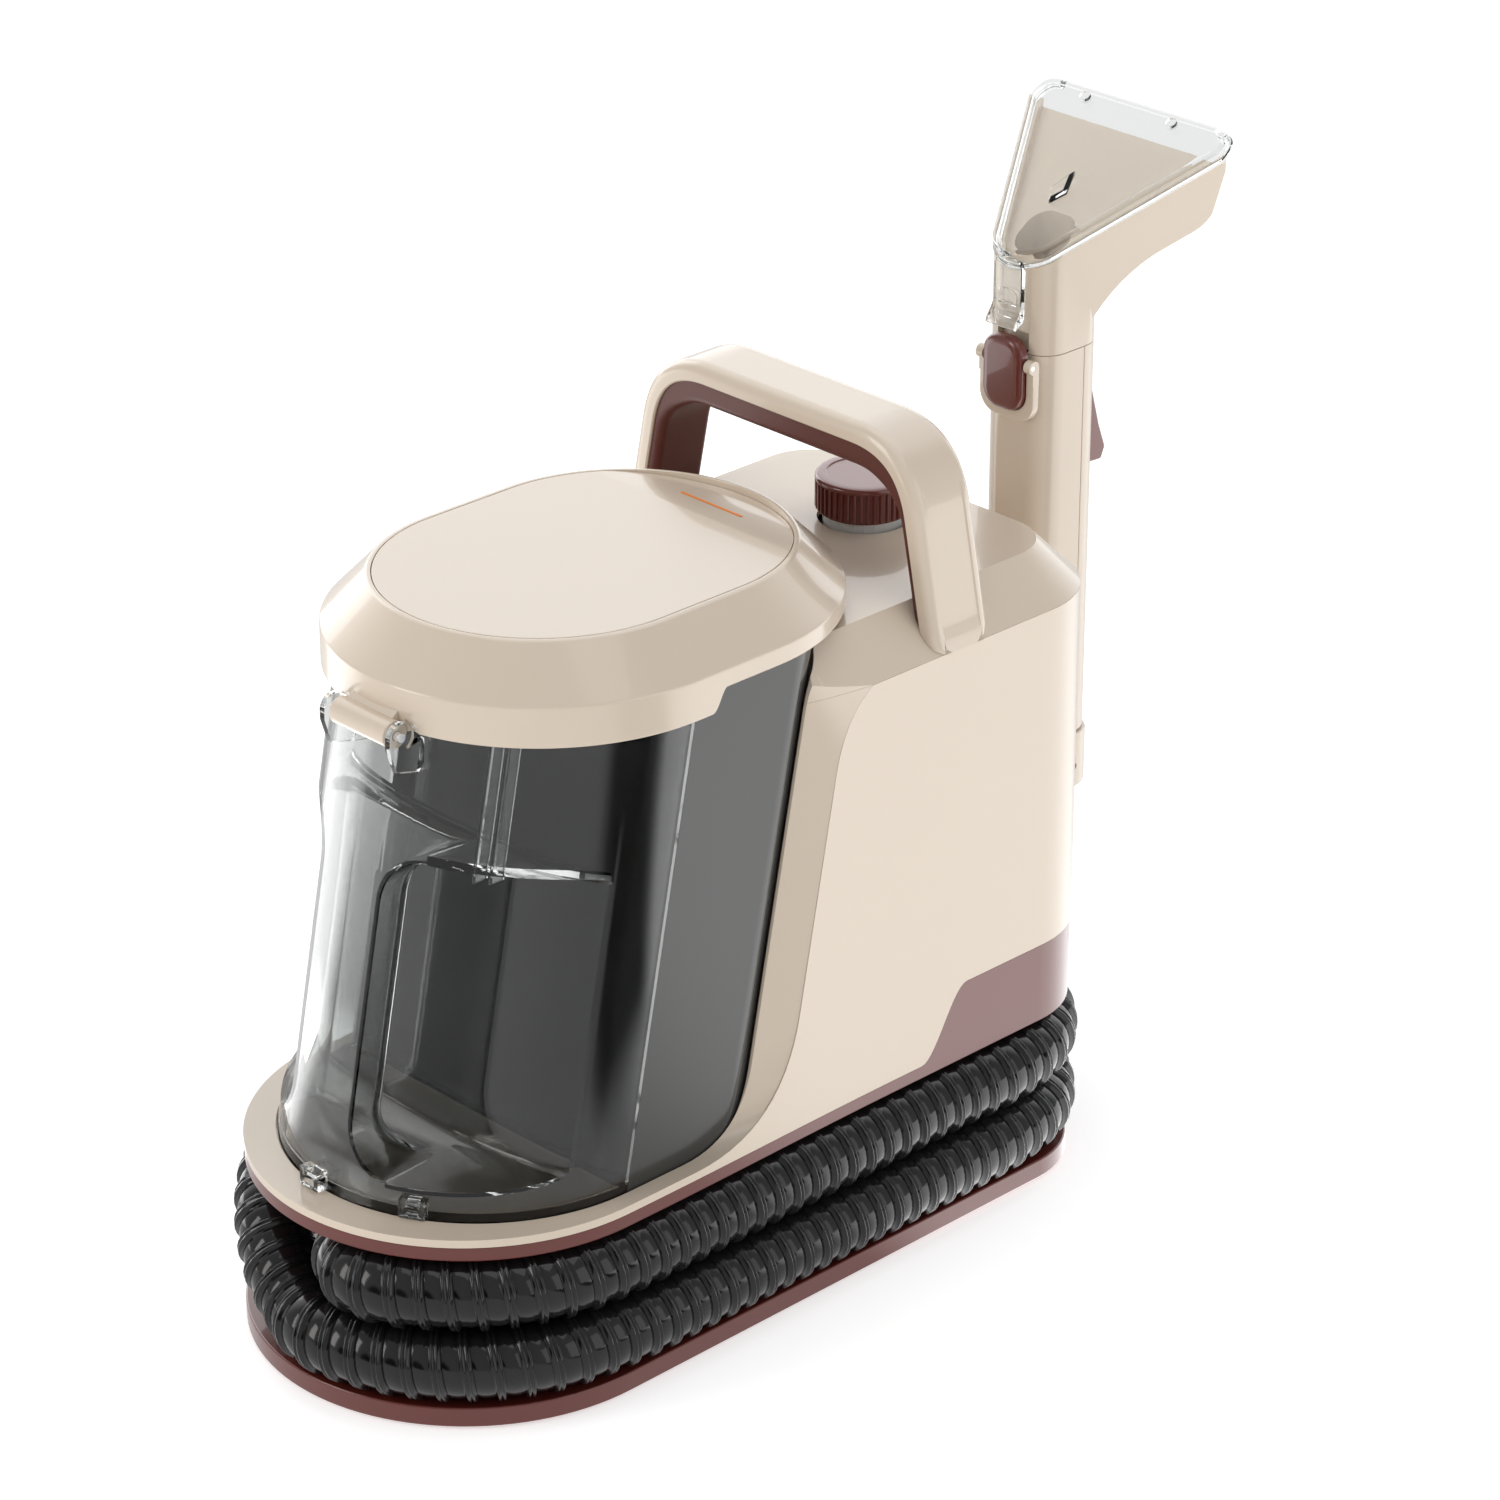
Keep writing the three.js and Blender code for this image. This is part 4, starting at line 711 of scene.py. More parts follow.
def block(name, low, high):
    """A plain box between two corners, used as a cutter or a core."""
    (x0, y0, z0), (x1, y1, z1) = low, high
    outline = [(x1, y0), (x1, y1), (x0, y1), (x0, y0)]
    return loft(name, [at_height(outline, z0), at_height(outline, z1)])


def ease_edges(piece, width, segments=2, degrees=38.0):
    """Rounds the edges that are sharper than an angle."""
    step = piece.modifiers.new("ease", "BEVEL")
    step.width = width / 1000.0
    step.segments = segments
    step.limit_method = "ANGLE"
    step.angle_limit = math.radians(degrees)
    step.use_clamp_overlap = True
    step.miter_outer = "MITER_ARC"
    return settle(piece)


cheek = side_profile(BAY_LINE, 34, BODY_TOP, 24)
panel = side_profile(PANEL_LINE, 52, PANEL_TOP + 6, 40)
shell = loft("main_shell", [[(x, y, z) for y, z in line] for x, line in
                            ((-101.0, panel), (-SIDE_HALF, panel), (-BAY_HALF, cheek), (BAY_HALF, cheek),
                             (SIDE_HALF, panel), (101.0, panel))])
plan_rings = [at_height(shell_outline(inset), z) for inset, z in
              ((0.0, 84.0), (0.0, PANEL_TOP), (CHAMFER, BODY_TOP), (CHAMFER + 0.3, BODY_TOP + 0.3))]
carve(shell, [loft("plan", plan_rings)], "INTERSECT")
bay_outline = stadium(BAY_HALF, TANK_CENTRE - BAY_HALF, BAY_WALL, TANK_CORNER)
bay = loft("bay", [raked(bay_outline, 89.7), raked(bay_outline, 345.0)])
step_line = [(y, skirt_line(y)) for y in [-260, 60] + [STEP_FROM + k for k in range(0, 29, 2)] + [120, 260]]
under_line = [(-260.0, 40.0)] + step_line + [(260.0, 40.0)]
under = loft("under", [[(x, y, z) for y, z in under_line] for x in (-130.0, 130.0)])
carve(shell, [bay, under])
ease_edges(shell, 0.9, 3)


def room_ring(inset, z):
    """The room behind the tank bay, level by level: its front wall leans with the tank."""
    front = BAY_WALL + WALL + RAKE * (z - RAKE_LEVEL)
    half, rear, radius = SIDE_HALF - WALL - inset, SHELL_REAR - WALL - inset, SHELL_CORNER - WALL - inset
    return rear_corners(half, rear, radius, 12) + [(-half, front), (half, front)]


room = loft("room", [at_height(room_ring(inset, z), z) for inset, z in
                     ((0.0, 60.0), (0.0, PANEL_TOP - 1), (CHAMFER - 1, BODY_TOP - WALL))])


def along_y(name, levels):
    """A piece built over outlines in X and Z, each at its own Y."""
    return loft(name, [[(x, y, z) for x, z in outline] for y, outline in levels])


def across(name, radius, low, high, x, z, sides=32):
    """A round cutter or rod along Y."""
    return along_y(name, [(y, circle(x, z, radius, sides)) for y in (low, high)])


def twin(piece, name):
    """A copy of a piece, with a mesh of its own."""
    copy = piece.copy()
    copy.data = piece.data.copy()
    copy.name = copy.data.name = name
    bpy.context.scene.collection.objects.link(copy)
    return copy


back_holes = [across("screw_hole", 2.4, 190, 210, 0, z) for z in DOCK_SCREWS]
back_holes += [across("button_hole", 12.4, 190, 210, POWER_X, POWER_Z, 48),
               block("inlet_hole", (INLET_X - 14, 190, INLET_Z - 11), (INLET_X + 14, 210, INLET_Z + 11)),
               block("grille_hole", (GRILLE_X - 11.3, 190, GRILLE_Z - 40.3),
                     (GRILLE_X + 11.3, 210, GRILLE_Z + 40.3))]
carve(shell, [room, turned("neck_hole", [(21, 290), (21, 320)], 0, CAP_Y, 48)] + back_holes)
cover = twin(shell, "top_cover_moulding")
carve(shell, [block("upper", (-130, -300, PANEL_TOP - SEAM_GAP), (130, 300, 400))])
carve(cover, [block("lower", (-130, -300, 0), (130, 300, PANEL_TOP + SEAM_GAP))])
shell.name = shell.data.name = "main_housing_moulding"
cream = moulded("cream_plastic", (0.72, 0.61, 0.49), 0.25, grain_depth=0.02, colour_drift=0.02,
                gloss_drift=0.04, coat=0.55)
put_in_place(soften(shell, 30), "root", cream, "cream_plastic", "main_housing")
put_in_place(soften(cover, 30), "root", cream, "cream_plastic", "top_cover")

# ---------------------------------------------------------------- filler cap
# A maroon screw cap closes the clean water tank on the top face. Fine upright grip ribs run round it
# under a plain rounded rim.
CAP_RIBS = 44
cap_profile = [(19, 323), (19, 309.2), (19.3, 309), (20.6, 309), (20.9, 309.5), (20.9, 322.9), (21.8, 323.2),
               (22, 323.9), (21.8, 325), (21.1, 325.7), (20, 326), (17.2, 326), (16.6, 325.5)]
cap_core = turned("filler_cap_core", cap_profile, 0, CAP_Y, 72)
put_in_place(soften(cap_core), "cap", maroon, "maroon_plastic", "filler_cap")
rib_foot = [(20.5, -0.85), (21.5, -0.75), (21.95, -0.3), (21.95, 0.3), (21.5, 0.75), (20.5, 0.85)]
rib_shape = loft("cap_rib", [at_height([(20.5 + (x - 20.5) * reach, y) for x, y in rib_foot], z)
                             for reach, z in ((0.3, 309.4), (1, 310.4), (1, 323.3))])
cap_ribs = repeated("filler_cap_ribs", rib_shape, [(0, CAP_Y, 0)] * CAP_RIBS, maroon,
                    [(0, 0, 2 * math.pi * k / CAP_RIBS) for k in range(CAP_RIBS)])
put_in_place(soften(cap_ribs), "cap", maroon, "maroon_plastic", "filler_cap")


def dress(material, *names):
    """Gives the CAD nodes that are kept as they are their finish."""
    for name in names:
        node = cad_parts[name]
        node.data.materials.clear()
        node.data.materials.append(material)


white = moulded("white_plastic", (0.72, 0.72, 0.70), 0.4, grain_depth=0.1)
dress(rubber, "cap_seal")
dress(white, "clean_tank")

# ---------------------------------------------------------------- carry handle
# A cream channel arches over the body with a maroon grip under it. Each leg stands on the chamfer of
# the body, and carries a shallow recess on its outer face that fades out at the bend.
HANDLE_Y, HANDLE_HALF = 100.0, 17.0
SKIN, LEG_DEPTH, BAR_DEPTH = 9.0, 14.0, 20.0
HANDLE_FOOT, BAR_Z, BAR_HALF = 285.5, 378.0, 45.0
(foot_x, foot_z), (bend_x, bend_z) = (99.4, 280.0), (86.3, 344.3)
leg_line = [(foot_x - (foot_x - bend_x) * k / 16, foot_z + (bend_z - foot_z) * k / 16) for k in range(16)]
bend_line = bent((bend_x, bend_z), (79.4, BAR_Z), (BAR_HALF, BAR_Z), 20)
half_line = leg_line + bend_line + [(BAR_HALF - 9 * k, BAR_Z) for k in (1, 2, 3, 4)]
arch = half_line + [(0.0, BAR_Z)] + [(-x, z) for x, z in reversed(half_line)]


def arch_ring(i, section):
    """A section of the handle, given as inward and sideways pairs, at a point of the arch."""
    (x0, z0), (x1, z1) = arch[max(i - 1, 0)], arch[min(i + 1, len(arch) - 1)]
    length = math.hypot(x1 - x0, z1 - z0)
    inward = (-(z1 - z0) / length, (x1 - x0) / length)
    x, z = arch[i]
    return [(x + inward[0] * n, HANDLE_Y + s, z + inward[1] * n) for n, s in section]


quarter_turn = [math.radians(15 * k) for k in range(7)]


def channel_section(hollow, foot):
    """The outer channel: rounded shoulders, a hollow face, and sides drawn in near the foot."""
    narrow = HANDLE_HALF if foot > 6 else HANDLE_HALF - 6 + math.sqrt(max(36 - (6 - foot) ** 2, 0))
    outline = [(SKIN, narrow - 0.6), (SKIN - 0.6, narrow)]
    outline += [(5 - 5 * math.sin(a), narrow - 5 + 5 * math.cos(a)) for a in quarter_turn]
    outline += [(0, 11.3), (hollow, 10.7), (hollow, 0)]
    return outline + [(n, -s) for n, s in reversed(outline[:-1])]


def along_leg(z):
    """How far up the leg a level is, from 0 at the foot of the recess to 1 where it has faded out."""
    return min(ease((z - 294) / 2.0), 1 - ease((z - 345) / 20.0))


LEG_HOLLOW = 0.65
channel_rings = [arch_ring(i, channel_section(LEG_HOLLOW * along_leg(z), z - HANDLE_FOOT))
                 for i, (x, z) in enumerate(arch)]
handle_shell = loft("handle_channel", channel_rings)


def grip_section(z):
    """The grip under the channel: thin on the legs, a full palm's depth along the bar."""
    depth = LEG_DEPTH + (BAR_DEPTH - LEG_DEPTH) * ease((z - 340) / 36.0)
    narrow = HANDLE_HALF - 1.3
    outline = [(SKIN + 0.15, narrow)]
    outline += [(depth - 4 + 4 * math.sin(a), narrow - 4 + 4 * math.cos(a)) for a in quarter_turn]
    return outline + [(n, -s) for n, s in reversed(outline)]


handle_grip = loft("handle_grip_moulding", [arch_ring(i, grip_section(z)) for i, (x, z) in enumerate(arch)])


def body_clearance():
    """The top of the body and a little more, cut from the feet of the handle."""
    rings = [at_height(shell_outline(inset, 4.0), z) for inset, z in
             ((-0.2, 200.0), (-0.2, PANEL_TOP), (CHAMFER - 0.2, BODY_TOP + 0.2))]
    return loft("clearance", rings)


for piece in (handle_shell, handle_grip):
    carve(piece, [body_clearance(), block("under_foot", (-130, 60, 250), (130, 140, HANDLE_FOOT))])
maroon_grip = moulded("maroon_grip", (0.105, 0.022, 0.015), 0.42, grain_depth=0.25, grain_scale=1400.0,
                      colour_drift=0.06)
put_in_place(soften(handle_shell, 28), "root", cream, "cream_plastic", "handle_shell")
put_in_place(soften(handle_grip), "root", maroon_grip, "maroon_grip", "handle_grip")

# ---------------------------------------------------------------- dirty water tank
# The tank leans back as it rises. Its front half is a clear moulding with an upright grip, left of the
# middle, between two finger recesses. Its rear half is smoked, and the two meet at a fine joint line.
TANK_HALF, TANK_REAR, TANK_RIM, TANK_REAR_RIM = 89.6, 28.0, 299.4, 309.4
TANK_WALL = 3.0
RECESS_LOW, RECESS_HIGH, RECESS_V = 112.0, 236.0, -45.0
SHOULDER, SHOULDER_SWING = 8.0, 55.0
COLUMN_X, COLUMN_HALF, COLUMN_BACK = -14.0, 23.0, -67.6
FILLET, SEAM_HALF = 22.0, 0.08


def tank_ring(inset, z):
    """A level of the tank's wall, drawn in from its outer face by the inset."""
    outline = stadium(TANK_HALF - inset, TANK_CENTRE - TANK_HALF + inset, TANK_REAR - inset,
                      TANK_CORNER - inset, 36)
    return raked(outline, z)


def tank_part(name, outline, levels):
    """A piece that leans with the tank, its outline measured from the tank's centre line."""
    return loft(name, [raked([(x, TANK_CENTRE + v) for x, v in outline], z) for z in levels])


def recess_ring(shift, z):
    """A level of the finger recess: a nearly flat back wall, open to the front."""
    half_wall = bent((86.8, -26.0 - shift), (80.0, RECESS_V + 2.0 - shift), (0.0, RECESS_V - shift), 20)
    wall = half_wall + [(-x, v) for x, v in reversed(half_wall[:-1])]
    outline = wall + [(-98, -12 - shift), (-112, -130 - shift), (112, -130 - shift), (98, -12 - shift)]
    return raked([(x, TANK_CENTRE + v) for x, v in outline], z)


def recess(name, grow):
    """The recess as a cutter whose back wall swings out to the surface at a rounded shoulder."""
    turns = [math.pi / 2 * k / 8 for k in range(9)]
    swings = [(SHOULDER_SWING * (1 - math.cos(a)) - grow, SHOULDER * math.sin(a)) for a in turns]
    rings = [recess_ring(shift, RECESS_LOW - grow - rise) for shift, rise in reversed(swings)]
    return loft(name, rings + [recess_ring(shift, RECESS_HIGH + grow + rise) for shift, rise in swings])


def column_ring(z, wall=0.0):
    """A level of the upright grip, or of the room inside it, which spreads in a fillet to both ends."""
    gap = max(min(z - (RECESS_LOW - SHOULDER), RECESS_HIGH + SHOULDER - z), 0.0)
    spread = FILLET - math.sqrt(max(FILLET ** 2 - (FILLET - min(gap, FILLET)) ** 2, 0.0))
    half, back, corner = COLUMN_HALF - wall + spread, COLUMN_BACK - wall + 0.8 * spread, 9.0 - wall
    outline = rear_corners(half, back, corner, 8) + [(-half, -140.0), (half, -140.0)]
    return raked([(COLUMN_X + x, TANK_CENTRE + v) for x, v in outline], z)


fillet_rise = [FILLET * (1 - math.cos(math.radians(7.5 * k))) for k in range(13)]
column_levels = [88.0, 96.0] + [RECESS_LOW - SHOULDER + rise for rise in fillet_rise] + [156.0, 180.0, 202.0]
column_levels += [RECESS_HIGH + SHOULDER - rise for rise in reversed(fillet_rise)] + [260.0, 268.0]
front_rings = [tank_ring(inset, z) for inset, z in ((1.6, 90.0), (0.5, 90.5), (0.0, 91.6), (0.0, TANK_RIM))]
tank_front = loft("tank_front_moulding", front_rings)
finger_room = recess("finger_room", 0.0)
carve(finger_room, [loft("column", [column_ring(z) for z in column_levels])])
carve(tank_front, [finger_room])
ease_edges(tank_front, 1.6, 3, 30)
inner_room = loft("inner_room", [tank_ring(inset, z) for inset, z in
                                 ((7.0, 93.5), (4.2, 94.4), (TANK_WALL, 97.0), (TANK_WALL, 330.0))])
inner_recess = recess("inner_recess", TANK_WALL)
carve(inner_recess, [loft("inner_column", [column_ring(z, TANK_WALL) for z in column_levels])])
carve(inner_room, [inner_recess])
carve(tank_front, [inner_room])
tank_rear = loft("tank_rear_moulding", [tank_ring(inset, z) for inset, z in
                                        ((1.6, 90.0), (0.5, 90.5), (0.0, 91.6), (0.0, TANK_REAR_RIM))])
rear_room = loft("rear_room", [tank_ring(TANK_WALL, z) for z in (93.5, 330.0)])
carve(tank_rear, [rear_room, block("low_rim", (-120, -260, TANK_RIM), (120, -41, 330))])


def seam_side(front_face, back_face):
    """Everything between two upright planes that lean with the tank."""
    outline = [(130.0, back_face), (-130.0, back_face), (-130.0, front_face), (130.0, front_face)]
    return tank_part("seam_side", outline, (60.0, 340.0))


carve(tank_front, [seam_side(-SEAM_HALF, 200.0)])
carve(tank_rear, [seam_side(-200.0, SEAM_HALF)])

clear_plastic = moulded("clear_plastic", (0.93, 0.94, 0.935), 0.02, grain_depth=0.01, colour_drift=0.02,
                        gloss_drift=0.02, clear=1.0, index=1.47)
tank_clear = moulded("tank_clear_plastic", (0.66, 0.67, 0.665), 0.02, grain_depth=0.01, colour_drift=0.02,
                     gloss_drift=0.02, clear=1.0, index=1.5)
smoked = moulded("smoked_plastic", (0.045, 0.045, 0.043), 0.2, grain_depth=0.01, colour_drift=0.04, coat=0.1)
put_in_place(soften(tank_front, 30), "dirty_tank", tank_clear, "clear_plastic", "tank_shell")
put_in_place(soften(tank_rear, 30), "dirty_tank", smoked, "smoke_plastic", "tank_shell")


# Inside the clear half two thin ribs run down from the rim, and its foot has two clear latch tabs.
guide_ribs, second_rib = [
    tank_part("tank_guide_ribs", [(x + 1.6, v), (x + 1.6, v + depth), (x, v + depth), (x, v)], (238.0, 298.0))
    for x, v, depth in ((46.4, -73.6, 7.6), (52.0, -69.4, 7.4))]
carve(guide_ribs, [second_rib], "UNION")
ease_edges(guide_ribs, 0.4)
put_in_place(soften(guide_ribs), "dirty_tank", clear_plastic, "clear_plastic", "tank_shell")
for x, y, turn in ((-5.0, -183.6, 0.0), (43.0, -169.6, 28.0)):
    tab = block("tank_latch_tab", (-6, -3, 92.3), (6, 3, 101.5))
    carve(tab, [block("tab_window", (-3, -5, 94.2), (3, 5, 98.2))])
    ease_edges(tab, 0.9, 2)
    tab.data.transform(Matrix.Translation(in_frame((x, y, 0))) @ Matrix.Rotation(math.radians(turn), 4, "Z")
                       @ Matrix.Translation((0, ORIGIN_Y / 1000.0, 0)))
    put_in_place(soften(tab), "dirty_tank", clear_plastic, "clear_plastic", "tank_shell")

# Two ears rise from the front rim on either side of the lid's barrel, and a pin runs through them.
HINGE_Y, HINGE_Z, EAR_IN, EAR_OUT, PIN_ROOM = -150.0, 300.0, 19.0, 22.0, 2.3


def along_x(name, outline, low, high):
    """A piece with the same outline in Y and Z all along X."""
    return loft(name, [[(x, y, z) for y, z in outline] for x in (low, high)])


def rod_x(name, radius, low, high, y, z, sides=32):
    """A round cutter or rod along X."""
    return along_x(name, arc(y, z, radius, 0, 360 - 360 / sides, sides - 1), low, high)


# An ear is a round eye on a foot that runs back into the tank wall.
ear_outline = arc(HINGE_Y, HINGE_Z, 6.5, -60, 180, 20)
ear_outline += [(HINGE_Y - 6.5, 296.0), (HINGE_Y - 3.0, 285.0), (-141.5, 282.0), (-138.2, 286.0),
                (-138.2, 296.5)]
for side, name in ((1, "hinge_ear_right"), (-1, "hinge_ear_left")):
    low, high = (EAR_IN, EAR_OUT) if side > 0 else (-EAR_OUT, -EAR_IN)
    ear = along_x(name, ear_outline, low, high)
    carve(ear, [rod_x("pin_room", PIN_ROOM, low - 2, high + 2, HINGE_Y, HINGE_Z)])
    ease_edges(ear, 0.5)
    put_in_place(soften(ear), "dirty_tank", clear_plastic, "clear_plastic", "tank_shell")
steel = moulded("steel", (0.62, 0.63, 0.64), 0.25, grain_depth=0.05, metallic=1.0)
# Near-black for the separator and inlet pipe: partly their own smoked colour, partly painted shade inside the
# tank.
separator_dark = moulded("separator_dark", (0.014, 0.014, 0.014), 0.4, grain_depth=0.01, colour_drift=0.15)
orange = moulded("orange_accent", (0.80, 0.22, 0.02), 0.5, grain_depth=0.02)
dress(steel, "hinge_pin")


def rounded_rect(half_width, half_height, centre, corner, steps=8):
    """An outline of a rounded rectangle round a centre."""
    result = []
    for turn, (sx, sy) in enumerate(((1, 1), (-1, 1), (-1, -1), (1, -1))):
        result += arc(centre[0] + sx * (half_width - corner), centre[1] + sy * (half_height - corner), corner,
                      90 * turn, 90 * turn + 90, steps)
    return result


# The separator is a smoked box, open at the top, that parts the inlet from the collected water. Its
# near-black colour is partly painted shade for the dark inside of the tank.
separator_outline = rounded_rect(86.3, 36.5, (0.0, -11.8), 20.0, 12)
separator_levels = ((0.99, 94.0), (1.0, 95.0), (1.0, 296.0), (0.97, 296.0), (0.97, 97.0))
separator = loft("separator_moulding", [raked([(x * share, y) for x, y in separator_outline], z)
                                        for share, z in separator_levels])
put_in_place(soften(separator), "dirty_tank", separator_dark, "smoke_plastic", "separator_box")
dress(separator_dark, "inlet_pipe")
dress(white, "float_cage")
dress(orange, "shutoff_float")

# ---------------------------------------------------------------- lid
# The lid is a cream moulding with an upright rim, a wide 45 degree flank and a flat panel let into its
# top. The rim steps up behind the tank's joint line, and the panel dips at the back under a thin
# orange line so that a finger can lift it.
LID_HALF, LID_FRONT, LID_REAR = 94.0, -146.0, 87.5
LID_RIM, LID_REAR_RIM, LID_TOP = 300.0, 310.0, 339.0
RIM_STEP_FROM, RIM_STEP_LENGTH = -44.0, 8.0
front_centre_y, rear_centre_y = LID_FRONT + LID_HALF, LID_REAR - LID_HALF


def capsule(inset):
    """The outline of the lid, round in front and behind, with close points along its straight sides."""
    radius = LID_HALF - inset
    sides = [front_centre_y + (rear_centre_y - front_centre_y) * k / 46 for k in range(1, 46)]
    return (arc(0, rear_centre_y, radius, 0, 180, 80) + [(-radius, y) for y in reversed(sides)]
            + arc(0, front_centre_y, radius, 180, 360, 80) + [(radius, y) for y in sides])


def rim_at(y):
    """The level of the lid's lower edge, which steps up towards the back."""
    return LID_RIM + (LID_REAR_RIM - LID_RIM) * ease((y - RIM_STEP_FROM) / RIM_STEP_LENGTH)


def rim_ring(inset, above):
    """A ring of the lid that keeps its distance above the stepped edge."""
    return [(x, y, rim_at(y) + above) for x, y in capsule(inset)]


lid_rings = [rim_ring(1.0, 0.0), rim_ring(0.35, 0.12), rim_ring(0.05, 0.6)]
lid_rings += [at_height(capsule(inset), z) for inset, z in
              ((0.0, 317.3), (0.12, 318.1), (0.5, 318.75), (19.2, 338.1), (19.8, 338.6), (20.6, 338.95),
               (21.6, 339.0), (22.0, 338.85), (22.15, 338.4), (22.15, 333.6), (28.0, 333.6), (28.0, 331.0),
               (21.6, 331.0), (3.0, 315.8))]
lid_rings.append(rim_ring(3.0, 0.0))
lid_shell = loft("lid_moulding", lid_rings, True)
barrel = rod_x("barrel", 6.0, -17.0, 17.0, HINGE_Y, HINGE_Z, 40)
ease_edges(barrel, 0.6)
web_line = [(-150.0, 304.0), (-146.0, 300.3), (-143.6, 300.3), (-143.6, 309.0), (-147.5, 306.2)]
for extra in (barrel, along_x("web", web_line, -14.0, 14.0)):
    carve(lid_shell, [extra], "UNION")
carve(lid_shell, [rod_x("pin_room", PIN_ROOM, -40, 40, HINGE_Y, HINGE_Z)]
      + [rod_x("ear_room", 8.0, low, low + 6.2, HINGE_Y, HINGE_Z) for low in (17.5, -23.7)])
put_in_place(soften(lid_shell, 30), "lid", cream, "cream_plastic", "lid_shell")

lid_panel = loft("lid_panel_moulding", [at_height(capsule(inset), z) for inset, z in
                                        ((22.4, 333.8), (22.4, 338.5), (22.55, 338.85), (23.0, 339.0))])
SCOOP_FROM, SCOOP_DEPTH, SCOOP_FALL = 31.0, 3.1, 0.055
scoop_line = [(SCOOP_FROM, LID_TOP + 0.02)]
scoop_line += [(SCOOP_FROM + 2.5 * k, LID_TOP - SCOOP_DEPTH * ease(k / 20.0) - SCOOP_FALL * k)
               for k in range(1, 15)]
scoop = along_x("scoop", scoop_line + [(80.0, 334.9), (80.0, 345.0), (SCOOP_FROM, 345.0)], -80.0, 80.0)
bar_slot = block("bar_slot", (-18.6, 43.8, 337.2), (18.9, 45.2, 345.0))
carve(lid_panel, [scoop, bar_slot])
put_in_place(soften(lid_panel, 20), "lid", cream, "cream_plastic", "lid_panel")
lid_bar = block("lid_accent_bar", (-18.5, 43.9, 337.25), (18.8, 45.1, 338.4))
put_in_place(lid_bar, "lid", orange, "orange_accent", "lid_accent")
dress(cream, "lid_inner_plate")
dress(rubber, "lid_gasket")

# ---------------------------------------------------------------- wand
# The wand is a rounded square tube in two half shells, with a sleeve at its foot, a maroon release
# button in a cream bezel in front and the spray trigger behind.
WAND_HALF, WAND_CORNER, WAND_WALL = 20.0, 13.0, 2.6
WAND_LOW, WAND_TOP, WAND_SEAM, JOINT_HALF = 165.3, 357.7, 258.0, 0.12
RELEASE_PIN_Y, RELEASE_PIN_Z, TRIGGER_PIN_Y, TRIGGER_PIN_Z = 228.0, 354.0, 266.0, 334.0


def wand_ring(grow, z):
    """A level of the wand's rounded square section."""
    half = WAND_HALF + grow
    return at_height(rounded_rect(half, half, (0, WAND_Y), WAND_CORNER + grow, 10), z)


wand_levels = (WAND_LOW, 233.0, 286.0, 334.0, WAND_TOP)
tube = loft("wand_front_half", [wand_ring(0, z) for z in wand_levels]
            + [wand_ring(-WAND_WALL, z) for z in reversed(wand_levels)], True)
rear_half = twin(tube, "wand_rear_half")
carve(tube, [block("rail_house", (-12.5, 233.5, WAND_LOW), (12.5, 239.2, 232.0))], "UNION")
carve(tube, [block("behind", (-40, WAND_SEAM - JOINT_HALF, 100), (40, 300, 400)),
             block("rail_neck", (-5.6, 226.0, 120), (5.6, 236.0, 225.6)),
             block("rail_head", (-9.6, 233.8, 120), (9.6, 237.3, 225.6)),
             block("button_room", (-9, 226.0, 336), (9, 236.0, 352))])
carve(rear_half, [block("in_front", (-40, 200, 100), (40, WAND_SEAM + JOINT_HALF, 400)),
                  block("trigger_slot", (-8, 262, 288), (8, 290, 341))])
ease_edges(tube, 0.35, 2, 50)
ease_edges(rear_half, 0.35, 2, 50)
put_in_place(soften(tube), "wand", cream, "cream_plastic", "wand_front_shell")
put_in_place(soften(rear_half), "wand", cream, "cream_plastic", "wand_rear_shell")

sleeve = loft("wand_foot_sleeve", [wand_ring(grow, z) for grow, z in
                                   ((0.4, 137.0), (1.2, 137.4), (1.5, 138.4), (1.5, 164.2), (1.2, 164.8),
                                    (0.8, 165.0), (-4.0, 165.0), (-4.0, 145.0))])
carve(sleeve, [turned("hose_room", [(14.4, 130), (14.4, 170)], 0, WAND_Y, 48),
               block("rail_way", (-9.6, 220, 120), (9.6, 237.3, 170)),
               rod_x("latch_hole", 1.6, 19, 30, 258.0, 148.0, 20)])
put_in_place(soften(sleeve), "wand", cream, "cream_plastic", "wand_end_cap")


# The release button is a domed pad that rocks on a pin through the bezel's ears.
BUTTON_Z, BUTTON_HALF, BUTTON_HEIGHT = 348.5, 12.0, 17.5
pad_levels = [(y, rounded_rect(BUTTON_HALF - inset, BUTTON_HEIGHT - inset, (0, BUTTON_Z), 9.0 - inset))
              for y, inset in ((229.4, 0.0), (226.6, 0.0), (225.6, 0.35), (224.9, 1.0), (224.45, 2.2),
                               (224.2, 4.0))]
button = along_y("release_button_pad", pad_levels)
carve(button, [block("button_stem", (-7, 229, 338), (7, 237, 350))], "UNION")
carve(button, [rod_x("pin_hole", 1.6, -30, 30, RELEASE_PIN_Y, RELEASE_PIN_Z, 24)])
put_in_place(soften(button), "release", maroon, "maroon_plastic", "release_button")

# The bezel is a low collar open towards the top, with an ear on each side that holds the button's pin.
collar_levels = [(y, rounded_rect(16.6 - inset, 17.0 - inset, (0, 343.0), 10.0 - inset))
                 for y, inset in ((231.7, 0.0), (229.2, 0.0), (228.5, 0.3), (228.1, 1.0))]
collar = along_y("button_bezel_collar", collar_levels)
carve(collar, [block("open_top", (-30, 220, 352.0), (30, 240, 380))])
for low, high in ((-16.6, -12.7), (12.7, 16.6)):
    ear = along_x("pin_ear", arc(RELEASE_PIN_Y + 0.7, RELEASE_PIN_Z, 3.2, 0, 350, 30), low, high)
    foot = block("ear_foot", (low, RELEASE_PIN_Y, 345.0), (high, 231.9, RELEASE_PIN_Z))
    carve(collar, [ear], "UNION")
    carve(collar, [foot], "UNION")
